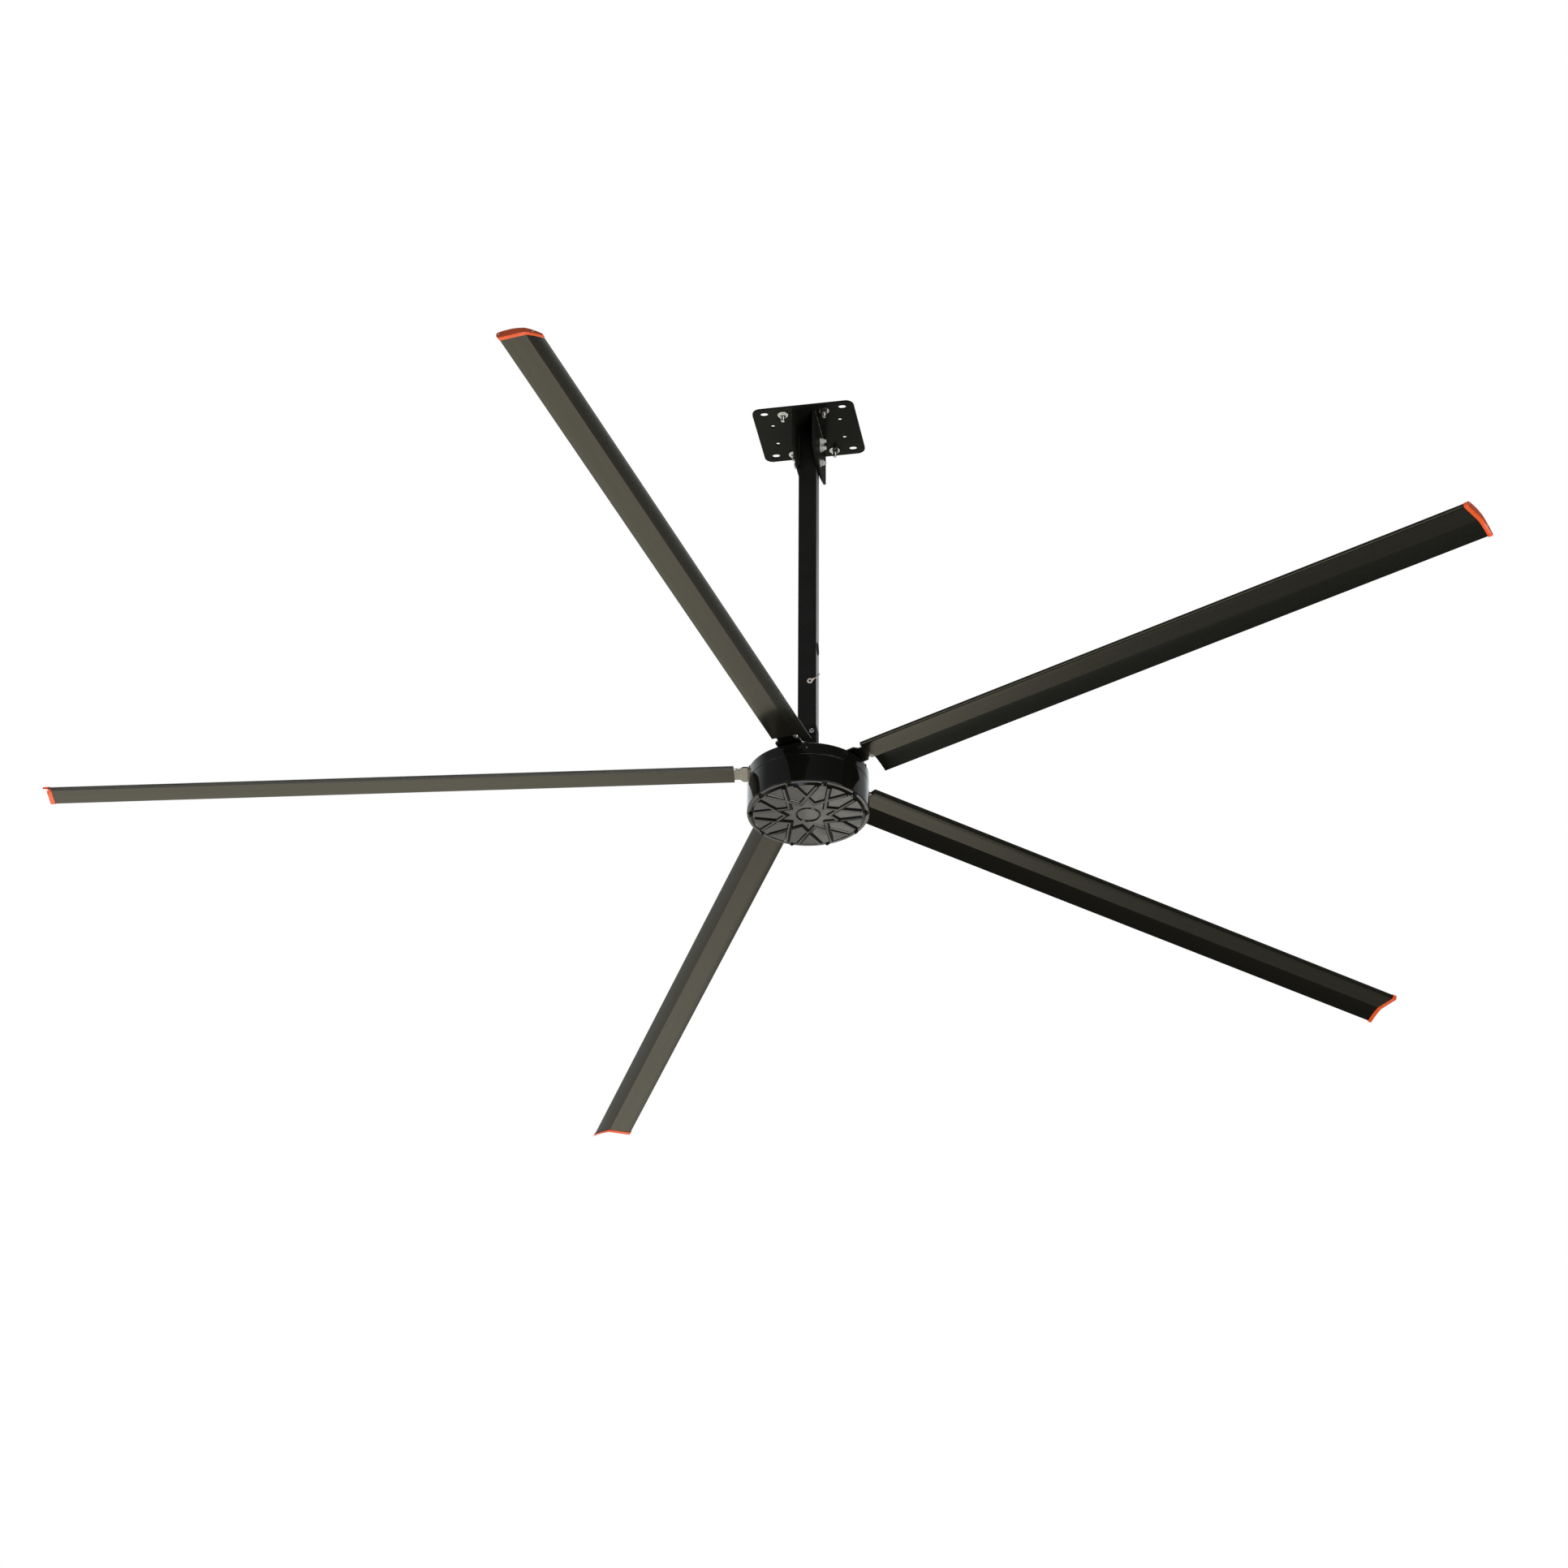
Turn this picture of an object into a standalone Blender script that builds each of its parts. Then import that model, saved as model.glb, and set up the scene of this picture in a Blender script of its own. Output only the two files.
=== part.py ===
# High volume low speed ceiling fan. Five hollow aluminium blades turn with the
# drum of an outer-rotor motor, whose fixed shaft hangs on a square tube bolted
# between two cheeks under a ceiling plate.
# Metres, Z up. The origin is the centre of the ceiling plate's top face, and the
# plate's edges lie along X and Y. The rotor turns about the Z axis.

from math import cos, pi, radians, sin, tan

import bmesh
import bpy
from mathutils import Matrix, Vector

# Shared values
clearance = 0.0003  # between pieces that touch
overrun = 0.002  # how far a cutter runs past the face that it cuts
embed = 0.001  # how deep a joined shape is rooted in its carrier
weld_distance = 0.00001
fastener_sides = 12
hole_sides = 16
hub_sides = 40
shaft_sides = 24
hexagon_lean = tan(radians(30))

# Ceiling plate
plate_length = 0.435
plate_width = 0.365
plate_thickness = 0.008
plate_corner_radius = 0.035
slot_spacing_x = 0.334
slot_spacing_y = 0.292
slot_length = 0.034
slot_width = 0.026
side_hole_spacing_x = 0.288
side_hole_spacing_y = 0.124
side_hole_radius = 0.009

# Bolts, washers and nuts that clamp the plate
plate_bolt_spacing_x = 0.176
plate_bolt_spacing_y = 0.280
plate_bolt_end = 0.020  # thread below the nut
large_shank_radius = 0.008
large_across_flats = 0.024
large_nut_height = 0.013
sunk_head_radius = 0.0145
washer_radius = 0.0225
washer_thickness = 0.004

# Cheeks and their cross bolts
cheek_thickness = 0.010
cheek_width = 0.300
cheek_side_height = 0.175
cheek_height = 0.212
cheek_foot_width = 0.100
upper_cross_bolt_drop = 0.056
middle_cross_bolt_drop = 0.093
lower_cross_bolt_drop = 0.171
cross_head_height = 0.010
cross_bolt_end = 0.010
collar_radius = 0.0165  # washer face under a flanged head or nut
collar_thickness = 0.003

# Down tube, with its stub that enters the yoke
tube_side = 0.076
tube_wall = 0.004
tube_corner_radius = 0.005
tube_length = 1.520
stub_below = 0.140
stub_above = 0.080

# Cable hole and grommet on the tube's right face
cable_hole_rise = 0.395  # above the tube's lower end
cable_bore_radius = 0.022
cable_grommet_wall = 0.0025
grommet_lip = 0.003
grommet_lip_thickness = 0.0018

# Earth terminal on the tube's front face
terminal_rise = 0.2135
terminal_offset = 0.013
terminal_radius = 0.012
terminal_thickness = 0.0015
terminal_tongue_reach = 0.018
terminal_tongue_width = 0.008
terminal_barrel_radius = 0.003
terminal_barrel_length = 0.007
terminal_lean_degrees = 25
terminal_screw_radius = 0.003
terminal_head_radius = 0.0053
terminal_head_height = 0.003
terminal_screw_length = 0.012

# Earth lead: its route by hand, from the terminal round the tube to its back
lead_radius = 0.002
lead_steps = 2
lead_route = (
    (0.0296, -0.0413, -1.3068), (0.0335, -0.0411, -1.3050), (0.0372, -0.0396, -1.3026),
    (0.0397, -0.0366, -1.2996), (0.0406, -0.0325, -1.2962), (0.0404, -0.0200, -1.2860),
    (0.0404, 0.0000, -1.2690), (0.0404, 0.0200, -1.2500), (0.0406, 0.0325, -1.2390),
    (0.0397, 0.0370, -1.2340), (0.0370, 0.0397, -1.2295), (0.0325, 0.0407, -1.2250),
    (0.0225, 0.0410, -1.2165), (0.0130, 0.0430, -1.2090), (0.0060, 0.0475, -1.2030),
    (0.0020, 0.0510, -1.1975), (0.0003, 0.0520, -1.1915), (0.0000, 0.0500, -1.1860),
    (0.0000, 0.0460, -1.1833), (0.0000, 0.0400, -1.1830), (0.0000, 0.0300, -1.1830),
)
lead_hole_rise = 0.3453
lead_grommet_wall = 0.0022
lead_grommet_lip = 0.0018

# Motor yoke: a square socket on a base plate
yoke_height = 0.204
yoke_base_side = 0.150
yoke_base_thickness = 0.012
yoke_base_corner = 0.015
yoke_bolt_drop = 0.035
yoke_bolt_spacing = 0.044
small_shank_radius = 0.006
small_across_flats = 0.019
small_head_height = 0.0075
small_nut_height = 0.010
small_bolt_end = 0.005

# Stator shaft, its bearings and its nut
shaft_flange_radius = 0.065
shaft_flange_thickness = 0.012
hub_running_gap = 0.0045
shaft_radius = 0.035
shaft_bore_radius = 0.024
shaft_collar_radius = 0.042
shaft_collar_height = 0.010
shaft_end_radius = 0.030
shaft_nut_radius = 0.0375
shaft_nut_height = 0.010
shaft_nut_gap = 0.001
upper_bearing_radius = 0.055
upper_bearing_height = 0.020
lower_bearing_radius = 0.0475
lower_bearing_height = 0.018

# Hub casing
hub_radius = 0.246
hub_wall = 0.008
top_band_height = 0.0525
top_thickness = 0.010
top_edge_radius = 0.004
top_edge_steps = 3
drum_height = 0.1247
seam_chamfer = 0.0012
shaft_opening_radius = 0.040
bearing_lip = 0.0072
bearing_boss_wall = 0.0125
seat_inner_radius = 0.158
seat_outer_radius = 0.238
seat_height = 0.003

# Bottom cover, with its star of ribs
cover_flange_thickness = 0.004
cover_groove_inner_radius = 0.219
cover_groove_width = 0.0045
cover_groove_depth = 0.002
cover_disc_drop = 0.0067  # from the flange's face down to the disc
cover_disc_thickness = 0.005
cover_wall = 0.004
cover_ring_outer_radius = 0.051
cover_ring_inner_radius = 0.041
rib_height = 0.004
rib_root_width = 0.013
rib_crest_width = 0.008
rib_vertex_radius = 0.087
rib_end_radius = 0.223
rib_count = 10
lug_pitch_radius = 0.232
lug_radius = 0.011
lug_height = 0.0045
lug_sides = 8

# Motor inside the drum
motor_top = 0.073  # below the hub's top face
magnet_height = 0.070
magnet_thickness = 0.0072
air_gap = 0.0015
core_height = 0.060
core_depth = 0.031
tooth_count = 12
tooth_depth = 0.018
tooth_share = 0.62  # of the pitch that a tooth fills
carrier_hub_wall = 0.015
carrier_rim_wall = 0.008
carrier_web = 0.016
winding_rise = 0.016
winding_inset = 0.004
winding_width = 0.020
winding_round = 0.005

# Blades
blade_count = 5
first_blade_degrees = 44.09
blade_root_radius = 0.2986
blade_length = 2.7734
blade_droop = 0.0595  # fall of the tip below the root
blade_wall = 0.0025
blade_front = 0.051  # nose ahead of the radial line
blade_flat_end = 0.050  # where the flat underside turns down into the flap
flap_length = 0.0697
flap_drop = 0.033
flap_slope_share = 0.328
blade_thickness = 0.022
nose_round = 0.007
nose_lift = 0.005
hollow_end_share = 0.85
nose_steps = 3
flat_steps = 2
flap_steps = 6
# Upper surface: share of the chord, then share of the thickness
thickness_shares = (
    (0.0, 0.68), (0.012, 0.80), (0.06, 0.90), (0.13, 0.96), (0.22, 0.99), (0.32, 1.0),
    (0.43, 0.92), (0.56, 0.72), (0.72, 0.53), (0.87, 0.33), (0.95, 0.215), (1.0, 0.14),
)

# Blade irons
iron_thickness = 0.006
iron_inner_radius = 0.165
iron_corner_radius = 0.012
iron_flange_front = 0.047
iron_flange_back = 0.058
iron_neck_front = 0.030
iron_neck_back = 0.040
iron_shoulder_start = 0.260
iron_shoulder_end = 0.278
iron_lap = 0.300
iron_corner_steps = 3
iron_shoulder_steps = 5

# End caps
cap_lap = 0.015
cap_wall = 0.0018
cap_end_thickness = 0.005
cap_edge_round = 0.001

# Heights, from the ceiling down
plate_underside = -plate_thickness
tube_top = plate_underside - clearance
tube_seam = tube_top - tube_length
yoke_top = tube_seam - clearance
yoke_base = yoke_top - yoke_height
shaft_top = yoke_base - clearance
hub_top = shaft_top - shaft_flange_thickness - hub_running_gap
cheek_inner = tube_side / 2 + clearance
cheek_outer = cheek_inner + cheek_thickness

# Heights inside the hub, below its top face
drum_top = -top_band_height - clearance
drum_bottom = drum_top - drum_height
cover_top = drum_bottom - clearance
cover_flange_face = cover_top - cover_flange_thickness
cover_disc_face = cover_flange_face - cover_disc_drop
cover_inside = cover_disc_face + cover_disc_thickness
upper_bearing_top = -bearing_lip - clearance
upper_bearing_bottom = upper_bearing_top - upper_bearing_height
shaft_nut_bottom = cover_inside + overrun
lower_bearing_bottom = shaft_nut_bottom + shaft_nut_height + shaft_nut_gap
lower_bearing_top = lower_bearing_bottom + lower_bearing_height
motor_middle = -motor_top - magnet_height / 2
magnet_outer_radius = hub_radius - hub_wall - clearance
magnet_inner_radius = magnet_outer_radius - magnet_thickness
core_outer_radius = magnet_inner_radius - air_gap
core_inner_radius = core_outer_radius - core_depth

# Colour, roughness and metallic value of each finish
finishes = {
    "black_coat": ((0.010, 0.011, 0.010, 1), 0.32, 0.2),
    "bronze_anodised": ((0.055, 0.052, 0.037, 1), 0.34, 0.85),
    "orange_plastic": ((0.85, 0.10, 0.02, 1), 0.38, 0.0),
    "zinc": ((0.62, 0.62, 0.60, 1), 0.28, 1.0),
    "plated_iron": ((0.45, 0.43, 0.37, 1), 0.30, 1.0),
    "steel": ((0.45, 0.45, 0.46, 1), 0.35, 1.0),
    "black_steel": ((0.03, 0.03, 0.03, 1), 0.40, 0.8),
    "copper": ((0.72, 0.32, 0.16, 1), 0.32, 1.0),
    "pale_brass": ((0.78, 0.60, 0.45, 1), 0.35, 0.9),
    "red_plated": ((0.20, 0.06, 0.04, 1), 0.40, 0.7),
    "magnet_grey": ((0.20, 0.20, 0.21, 1), 0.45, 0.6),
    "rubber": ((0.015, 0.015, 0.015, 1), 0.70, 0.0),
    "pale_sheath": ((0.70, 0.62, 0.52, 1), 0.55, 0.0),
}


def clear_scene():
    for item in list(bpy.data.objects):
        bpy.data.objects.remove(item, do_unlink=True)


def make_finish(name):
    colour, roughness, metallic = finishes[name]
    finish = bpy.data.materials.new(name)
    finish.use_nodes = True
    shader = finish.node_tree.nodes["Principled BSDF"]
    shader.inputs["Base Color"].default_value = colour
    shader.inputs["Roughness"].default_value = roughness
    shader.inputs["Metallic"].default_value = metallic
    return finish


def place(name, mesh, finish, parent=None, location=(0, 0, 0), rotation=(0, 0, 0)):
    piece = bpy.data.objects.new(name, mesh)
    if not mesh.materials:
        mesh.materials.append(bpy.data.materials[finish])
    piece.parent = parent
    piece.location = location
    piece.rotation_euler = rotation
    bpy.context.scene.collection.objects.link(piece)
    return piece


# A tool shape in the target's own space, taken from it or joined to it
def shape_with(target, tool_mesh, operation):
    tool = bpy.data.objects.new(tool_mesh.name, tool_mesh)
    tool.parent = target
    tool.hide_render = True
    tool.display_type = "WIRE"
    bpy.context.scene.collection.objects.link(tool)
    change = target.modifiers.new(tool_mesh.name, "BOOLEAN")
    change.operation = operation
    change.solver = "EXACT"
    change.use_self = operation == "UNION"
    change.object = tool


def finish_mesh(name, model):
    bmesh.ops.remove_doubles(model, verts=model.verts[:], dist=weld_distance)
    bmesh.ops.recalc_face_normals(model, faces=model.faces[:])
    mesh = bpy.data.meshes.new(name)
    model.to_mesh(mesh)
    model.free()
    mesh.shade_smooth()
    mesh.set_sharp_from_angle(angle=radians(30))
    return mesh


# Rings of points joined each to the next. A hollow piece also joins its last
# ring to its first, and a solid one closes both ends with a face.
def loft(name, rings, hollow):
    model = bmesh.new()
    loops = [[model.verts.new(point) for point in ring] for ring in rings]
    pairs = list(zip(loops, loops[1:]))
    if hollow:
        pairs.append((loops[-1], loops[0]))
    else:
        model.faces.new(loops[0])
        model.faces.new(loops[-1])
    for near, far in pairs:
        for index, point in enumerate(near):
            following = (index + 1) % len(near)
            model.faces.new((point, near[following], far[following], far[index]))
    return finish_mesh(name, model)


# A profile of radius and height turned about Z. One that starts and ends on the
# axis makes a solid piece, and any other is closed into a hollow one.
def turned(name, profile, sides):
    model = bmesh.new()
    points = [model.verts.new((radius, 0, height)) for radius, height in profile]
    pairs = list(zip(points, points[1:]))
    if profile[0][0] > 0:
        pairs.append((points[-1], points[0]))
    edges = [model.edges.new(pair) for pair in pairs]
    bmesh.ops.spin(
        model, geom=points + edges, cent=(0, 0, 0), axis=(0, 0, 1),
        angle=2 * pi, steps=sides, use_merge=True,
    )
    return finish_mesh(name, model)


def rod(name, radius, low, high, sides=fastener_sides):
    return turned(name, ((0, high), (radius, high), (radius, low), (0, low)), sides)


# Several meshes set by their matrices into one, for a tool with many bodies
def gather(name, pieces):
    model = bmesh.new()
    for mesh, matrix in pieces:
        count = len(model.verts)
        model.from_mesh(mesh)
        model.verts.ensure_lookup_table()
        bmesh.ops.transform(model, matrix=matrix, verts=model.verts[count:])
    return finish_mesh(name, model)


def circle(radius, height, count, phase=0):
    angles = [2 * pi * index / count + phase for index in range(count)]
    return [Vector((radius * cos(angle), radius * sin(angle), height)) for angle in angles]


# A hexagon sampled like a circle. Points lean back by a share of how far they
# stand outside the flats, which chamfers the corners.
def hexagon(across_flats, height, lean=0):
    ring = []
    for index in range(fastener_sides):
        angle = 2 * pi * index / fastener_sides
        from_flat = angle % (pi / 3) - pi / 6
        radius = across_flats / 2 / cos(from_flat)
        drop = lean * (radius - across_flats / 2)
        ring.append(Vector((radius * cos(angle), radius * sin(angle), height - drop)))
    return ring


def rounded_rectangle(length, width, corner, height, steps=3):
    ring = []
    for quarter in range(4):
        side_x = 1 if quarter in (0, 3) else -1
        side_y = 1 if quarter in (0, 1) else -1
        for step in range(steps + 1):
            angle = pi / 2 * (quarter + step / steps)
            x = side_x * (length / 2 - corner) + corner * cos(angle)
            y = side_y * (width / 2 - corner) + corner * sin(angle)
            ring.append(Vector((x, y, height)))
    return ring


def four_corners(spacing_x, spacing_y):
    signs = ((-1, -1), (1, -1), (1, 1), (-1, 1))
    return [(side_x * spacing_x / 2, side_y * spacing_y / 2) for side_x, side_y in signs]


# Hexagon bolt: its head rises from the origin and its shank hangs below
def hexagon_bolt(name, shank_radius, shank_length, across_flats, head_height, collar=None):
    rings = [
        circle(shank_radius - embed, -shank_length, fastener_sides),
        circle(shank_radius, embed - shank_length, fastener_sides),
        circle(shank_radius, 0, fastener_sides),
    ]
    base = 0
    if collar:
        base = collar[1]
        rings.append(circle(collar[0], 0, fastener_sides))
        rings.append(circle(collar[0], base, fastener_sides))
    rings.append(hexagon(across_flats, base))
    rings.append(hexagon(across_flats, base + head_height, hexagon_lean))
    rings.append(circle(across_flats / 2, base + head_height, fastener_sides))
    return loft(name, rings, hollow=False)


def hexagon_nut(name, shank_radius, across_flats, height, collar=None):
    bore = shank_radius + clearance
    rings = [circle(bore, 0, fastener_sides)]
    base = 0
    if collar:
        base = collar[1]
        rings.append(circle(collar[0], 0, fastener_sides))
        rings.append(circle(collar[0], base, fastener_sides))
    rings.append(hexagon(across_flats, base))
    rings.append(hexagon(across_flats, base + height, hexagon_lean))
    rings.append(circle(across_flats / 2, base + height, fastener_sides))
    rings.append(circle(bore, base + height, fastener_sides))
    return loft(name, rings, hollow=True)


# Sunk head and shank of a plate bolt, or with extra the hole that takes them
def sunk_profile(extra, top, bottom):
    head = sunk_head_radius + extra
    shank = large_shank_radius + extra
    depth = sunk_head_radius - large_shank_radius
    return ((0, top), (head, top), (head, 0), (shank, -depth), (shank, bottom), (0, bottom))


def make_ceiling_plate():
    rings = [
        rounded_rectangle(plate_length, plate_width, plate_corner_radius, height, steps=5)
        for height in (plate_underside, 0)
    ]
    plate = place("ceiling_plate", loft("ceiling_plate", rings, hollow=False), "black_coat")
    low = plate_underside - overrun
    tools = []
    slot_ring = [
        rounded_rectangle(slot_length, slot_width, slot_width / 2, height)
        for height in (low, overrun)
    ]
    slot = loft("plate_slot", slot_ring, hollow=False)
    for x, y in four_corners(slot_spacing_x, slot_spacing_y):
        tools.append((slot, Matrix.Translation((x, y, 0))))
    hole = rod("side_hole", side_hole_radius, low, overrun, hole_sides)
    for x, y in four_corners(side_hole_spacing_x, side_hole_spacing_y):
        tools.append((hole, Matrix.Translation((x, y, 0))))
    sunk = turned("sunk_hole", sunk_profile(clearance, overrun, low), fastener_sides)
    for x, y in four_corners(plate_bolt_spacing_x, plate_bolt_spacing_y):
        tools.append((sunk, Matrix.Translation((x, y, 0))))
    shape_with(plate, gather("plate_holes", tools), "DIFFERENCE")


def make_plate_fasteners():
    washer_top = plate_underside - clearance
    nut_top = washer_top - washer_thickness - clearance
    bolt_bottom = nut_top - large_nut_height - plate_bolt_end
    bolt = turned("plate_bolt", sunk_profile(0, 0, bolt_bottom), fastener_sides)
    bore = large_shank_radius + clearance
    washer_profile = (
        (bore, 0), (washer_radius, 0), (washer_radius, -washer_thickness), (bore, -washer_thickness),
    )
    washer = turned("plate_washer", washer_profile, hole_sides)
    nut = hexagon_nut("plate_nut", large_shank_radius, large_across_flats, large_nut_height)
    corners = four_corners(plate_bolt_spacing_x, plate_bolt_spacing_y)
    for number, (x, y) in enumerate(corners, start=1):
        place(f"plate_bolt_{number}", bolt, "zinc", location=(x, y, 0))
        place(f"plate_washer_{number}", washer, "zinc", location=(x, y, washer_top))
        place(f"plate_nut_{number}", nut, "zinc", location=(x, y, nut_top), rotation=(pi, 0, 0))


def cross_bolt_heights():
    drops = (upper_cross_bolt_drop, middle_cross_bolt_drop, lower_cross_bolt_drop)
    return [plate_underside - drop for drop in drops]


# Holes along X for the cross bolts, in a piece whose origin is at a given height
def cross_holes(name, origin_height, half_reach):
    hole = rod("cross_hole", large_shank_radius + clearance, -half_reach, half_reach)
    turn = Matrix.Rotation(-pi / 2, 4, "Y")
    heights = cross_bolt_heights()
    tools = [(hole, Matrix.Translation((0, 0, height - origin_height)) @ turn) for height in heights]
    return gather(name, tools)


def make_cheeks():
    top = plate_underside - clearance
    outline = (
        (cheek_width / 2, 0), (cheek_width / 2, -cheek_side_height),
        (cheek_foot_width / 2, -cheek_height), (-cheek_foot_width / 2, -cheek_height),
        (-cheek_width / 2, -cheek_side_height), (-cheek_width / 2, 0),
    )
    half = cheek_thickness / 2
    rings = [[Vector((x, y, z)) for y, z in outline] for x in (-half, half)]
    for name, side in (("cheek_left", -1), ("cheek_right", 1)):
        location = (side * (cheek_inner + half), 0, top)
        cheek = place(name, loft(name, rings, hollow=False), "black_coat", location=location)
        holes = cross_holes(name + "_holes", top, half + overrun)
        shape_with(cheek, holes, "DIFFERENCE")


def make_cross_bolts():
    start = cheek_outer + clearance
    collar = (collar_radius, collar_thickness)
    length = 2 * start + collar_thickness + large_nut_height + cross_bolt_end
    bolt = hexagon_bolt(
        "cross_bolt", large_shank_radius, length, large_across_flats, cross_head_height, collar,
    )
    nut = hexagon_nut("cross_nut", large_shank_radius, large_across_flats, large_nut_height, collar)
    for number, height in enumerate(cross_bolt_heights(), start=1):
        to_left = (0, -pi / 2, 0)
        to_right = (0, pi / 2, 0)
        place(f"cross_bolt_{number}", bolt, "zinc", location=(-start, 0, height), rotation=to_left)
        place(f"cross_nut_{number}", nut, "zinc", location=(start, 0, height), rotation=to_right)


def square(side, height, corner):
    return rounded_rectangle(side, side, corner, height)


def stub_side():
    return tube_side - 2 * tube_wall - 2 * clearance


def make_down_tube():
    inner = tube_side - 2 * tube_wall
    inner_corner = tube_corner_radius - tube_wall
    stub = stub_side()
    stub_bore = stub - 2 * tube_wall
    top = tube_length
    rings = [
        square(tube_side, top, tube_corner_radius), square(tube_side, 0, tube_corner_radius),
        square(stub, 0, inner_corner), square(stub, -stub_below, inner_corner),
        square(stub_bore, -stub_below, inner_corner), square(stub_bore, stub_above, inner_corner),
        square(inner, stub_above, inner_corner), square(inner, top, inner_corner),
    ]
    tube = place(
        "down_tube", loft("down_tube", rings, hollow=True), "black_coat",
        location=(0, 0, tube_seam),
    )
    tools = [(cross_holes("tube_cross_holes", tube_seam, tube_side / 2 + overrun), Matrix())]
    wall_start = tube_side / 2 - tube_wall - overrun
    wall_end = tube_side / 2 + overrun
    cable_hole = rod(
        "cable_hole", cable_bore_radius + cable_grommet_wall + clearance,
        wall_start, wall_end, hole_sides,
    )
    to_right = Matrix.Rotation(pi / 2, 4, "Y")
    to_front = Matrix.Rotation(pi / 2, 4, "X")
    to_back = Matrix.Rotation(-pi / 2, 4, "X")
    tools.append((cable_hole, Matrix.Translation((0, 0, cable_hole_rise)) @ to_right))
    screw_hole = rod("screw_hole", terminal_screw_radius + clearance, wall_start, wall_end)
    tools.append((screw_hole, Matrix.Translation((terminal_offset, 0, terminal_rise)) @ to_front))
    lead_hole_radius = lead_radius + lead_grommet_wall + 2 * clearance
    lead_hole = rod("lead_hole", lead_hole_radius, wall_start, wall_end)
    tools.append((lead_hole, Matrix.Translation((0, 0, lead_hole_rise)) @ to_back))
    tools.append((yoke_bolt_holes("stub_bolt_holes", 0), Matrix()))
    shape_with(tube, gather("tube_holes", tools), "DIFFERENCE")


# Holes along Y for the two yoke bolts, in a piece whose top is at a given height
def yoke_bolt_holes(name, top):
    reach = tube_side / 2 + overrun
    hole = rod("yoke_hole", small_shank_radius + clearance, -reach, reach)
    turn = Matrix.Rotation(pi / 2, 4, "X")
    tools = []
    for side in (-1, 1):
        centre = (side * yoke_bolt_spacing / 2, 0, top - yoke_bolt_drop)
        tools.append((hole, Matrix.Translation(centre) @ turn))
    return gather(name, tools)


def make_yoke():
    inner = tube_side - 2 * tube_wall
    inner_corner = tube_corner_radius - tube_wall
    base_top = yoke_base_thickness
    bore_phase = pi / hole_sides
    rings = [
        square(tube_side, yoke_height, tube_corner_radius),
        square(tube_side, base_top, tube_corner_radius),
        square(yoke_base_side, base_top, yoke_base_corner),
        square(yoke_base_side, 0, yoke_base_corner),
        circle(shaft_bore_radius, 0, hole_sides, bore_phase),
        circle(shaft_bore_radius, base_top, hole_sides, bore_phase),
        square(inner, base_top, inner_corner),
        square(inner, yoke_height, inner_corner),
    ]
    yoke = place(
        "motor_yoke", loft("motor_yoke", rings, hollow=True), "black_coat",
        location=(0, 0, yoke_base),
    )
    shape_with(yoke, yoke_bolt_holes("yoke_holes", yoke_height + clearance), "DIFFERENCE")
    face = tube_side / 2 + clearance
    length = 2 * face + small_nut_height + small_bolt_end
    bolt = hexagon_bolt(
        "yoke_bolt", small_shank_radius, length, small_across_flats, small_head_height,
    )
    nut = hexagon_nut("yoke_nut", small_shank_radius, small_across_flats, small_nut_height)
    height = tube_seam - yoke_bolt_drop
    for number, side in enumerate((-1, 1), start=1):
        x = side * yoke_bolt_spacing / 2
        to_front = (pi / 2, 0, 0)
        to_back = (-pi / 2, 0, 0)
        place(f"yoke_bolt_{number}", bolt, "zinc", location=(x, -face, height), rotation=to_front)
        place(f"yoke_nut_{number}", nut, "zinc", location=(x, face, height), rotation=to_back)


# A grommet whose lips hold the tube's wall from both sides, its axis along Z and
# the wall's outer face at the origin
def grommet(name, bore, sleeve_wall, lip, sides):
    neck = bore + sleeve_wall
    rim = neck + lip
    outside = clearance + grommet_lip_thickness
    inside = -tube_wall - clearance
    profile = (
        (bore, outside), (rim - lip / 2, outside), (rim, clearance + grommet_lip_thickness / 2),
        (rim, clearance), (neck, clearance), (neck, inside), (rim, inside),
        (rim, inside - grommet_lip_thickness), (bore, inside - grommet_lip_thickness),
    )
    return turned(name, profile, sides)


def make_grommets():
    face = tube_side / 2
    cable = grommet(
        "cable_grommet", cable_bore_radius, cable_grommet_wall, grommet_lip, hole_sides,
    )
    place(
        "cable_grommet", cable, "rubber",
        location=(face, 0, tube_seam + cable_hole_rise), rotation=(0, pi / 2, 0),
    )
    lead = grommet(
        "lead_grommet", lead_radius + clearance, lead_grommet_wall, lead_grommet_lip,
        fastener_sides,
    )
    place(
        "lead_grommet", lead, "rubber",
        location=(0, face, tube_seam + lead_hole_rise), rotation=(-pi / 2, 0, 0),
    )


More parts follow.
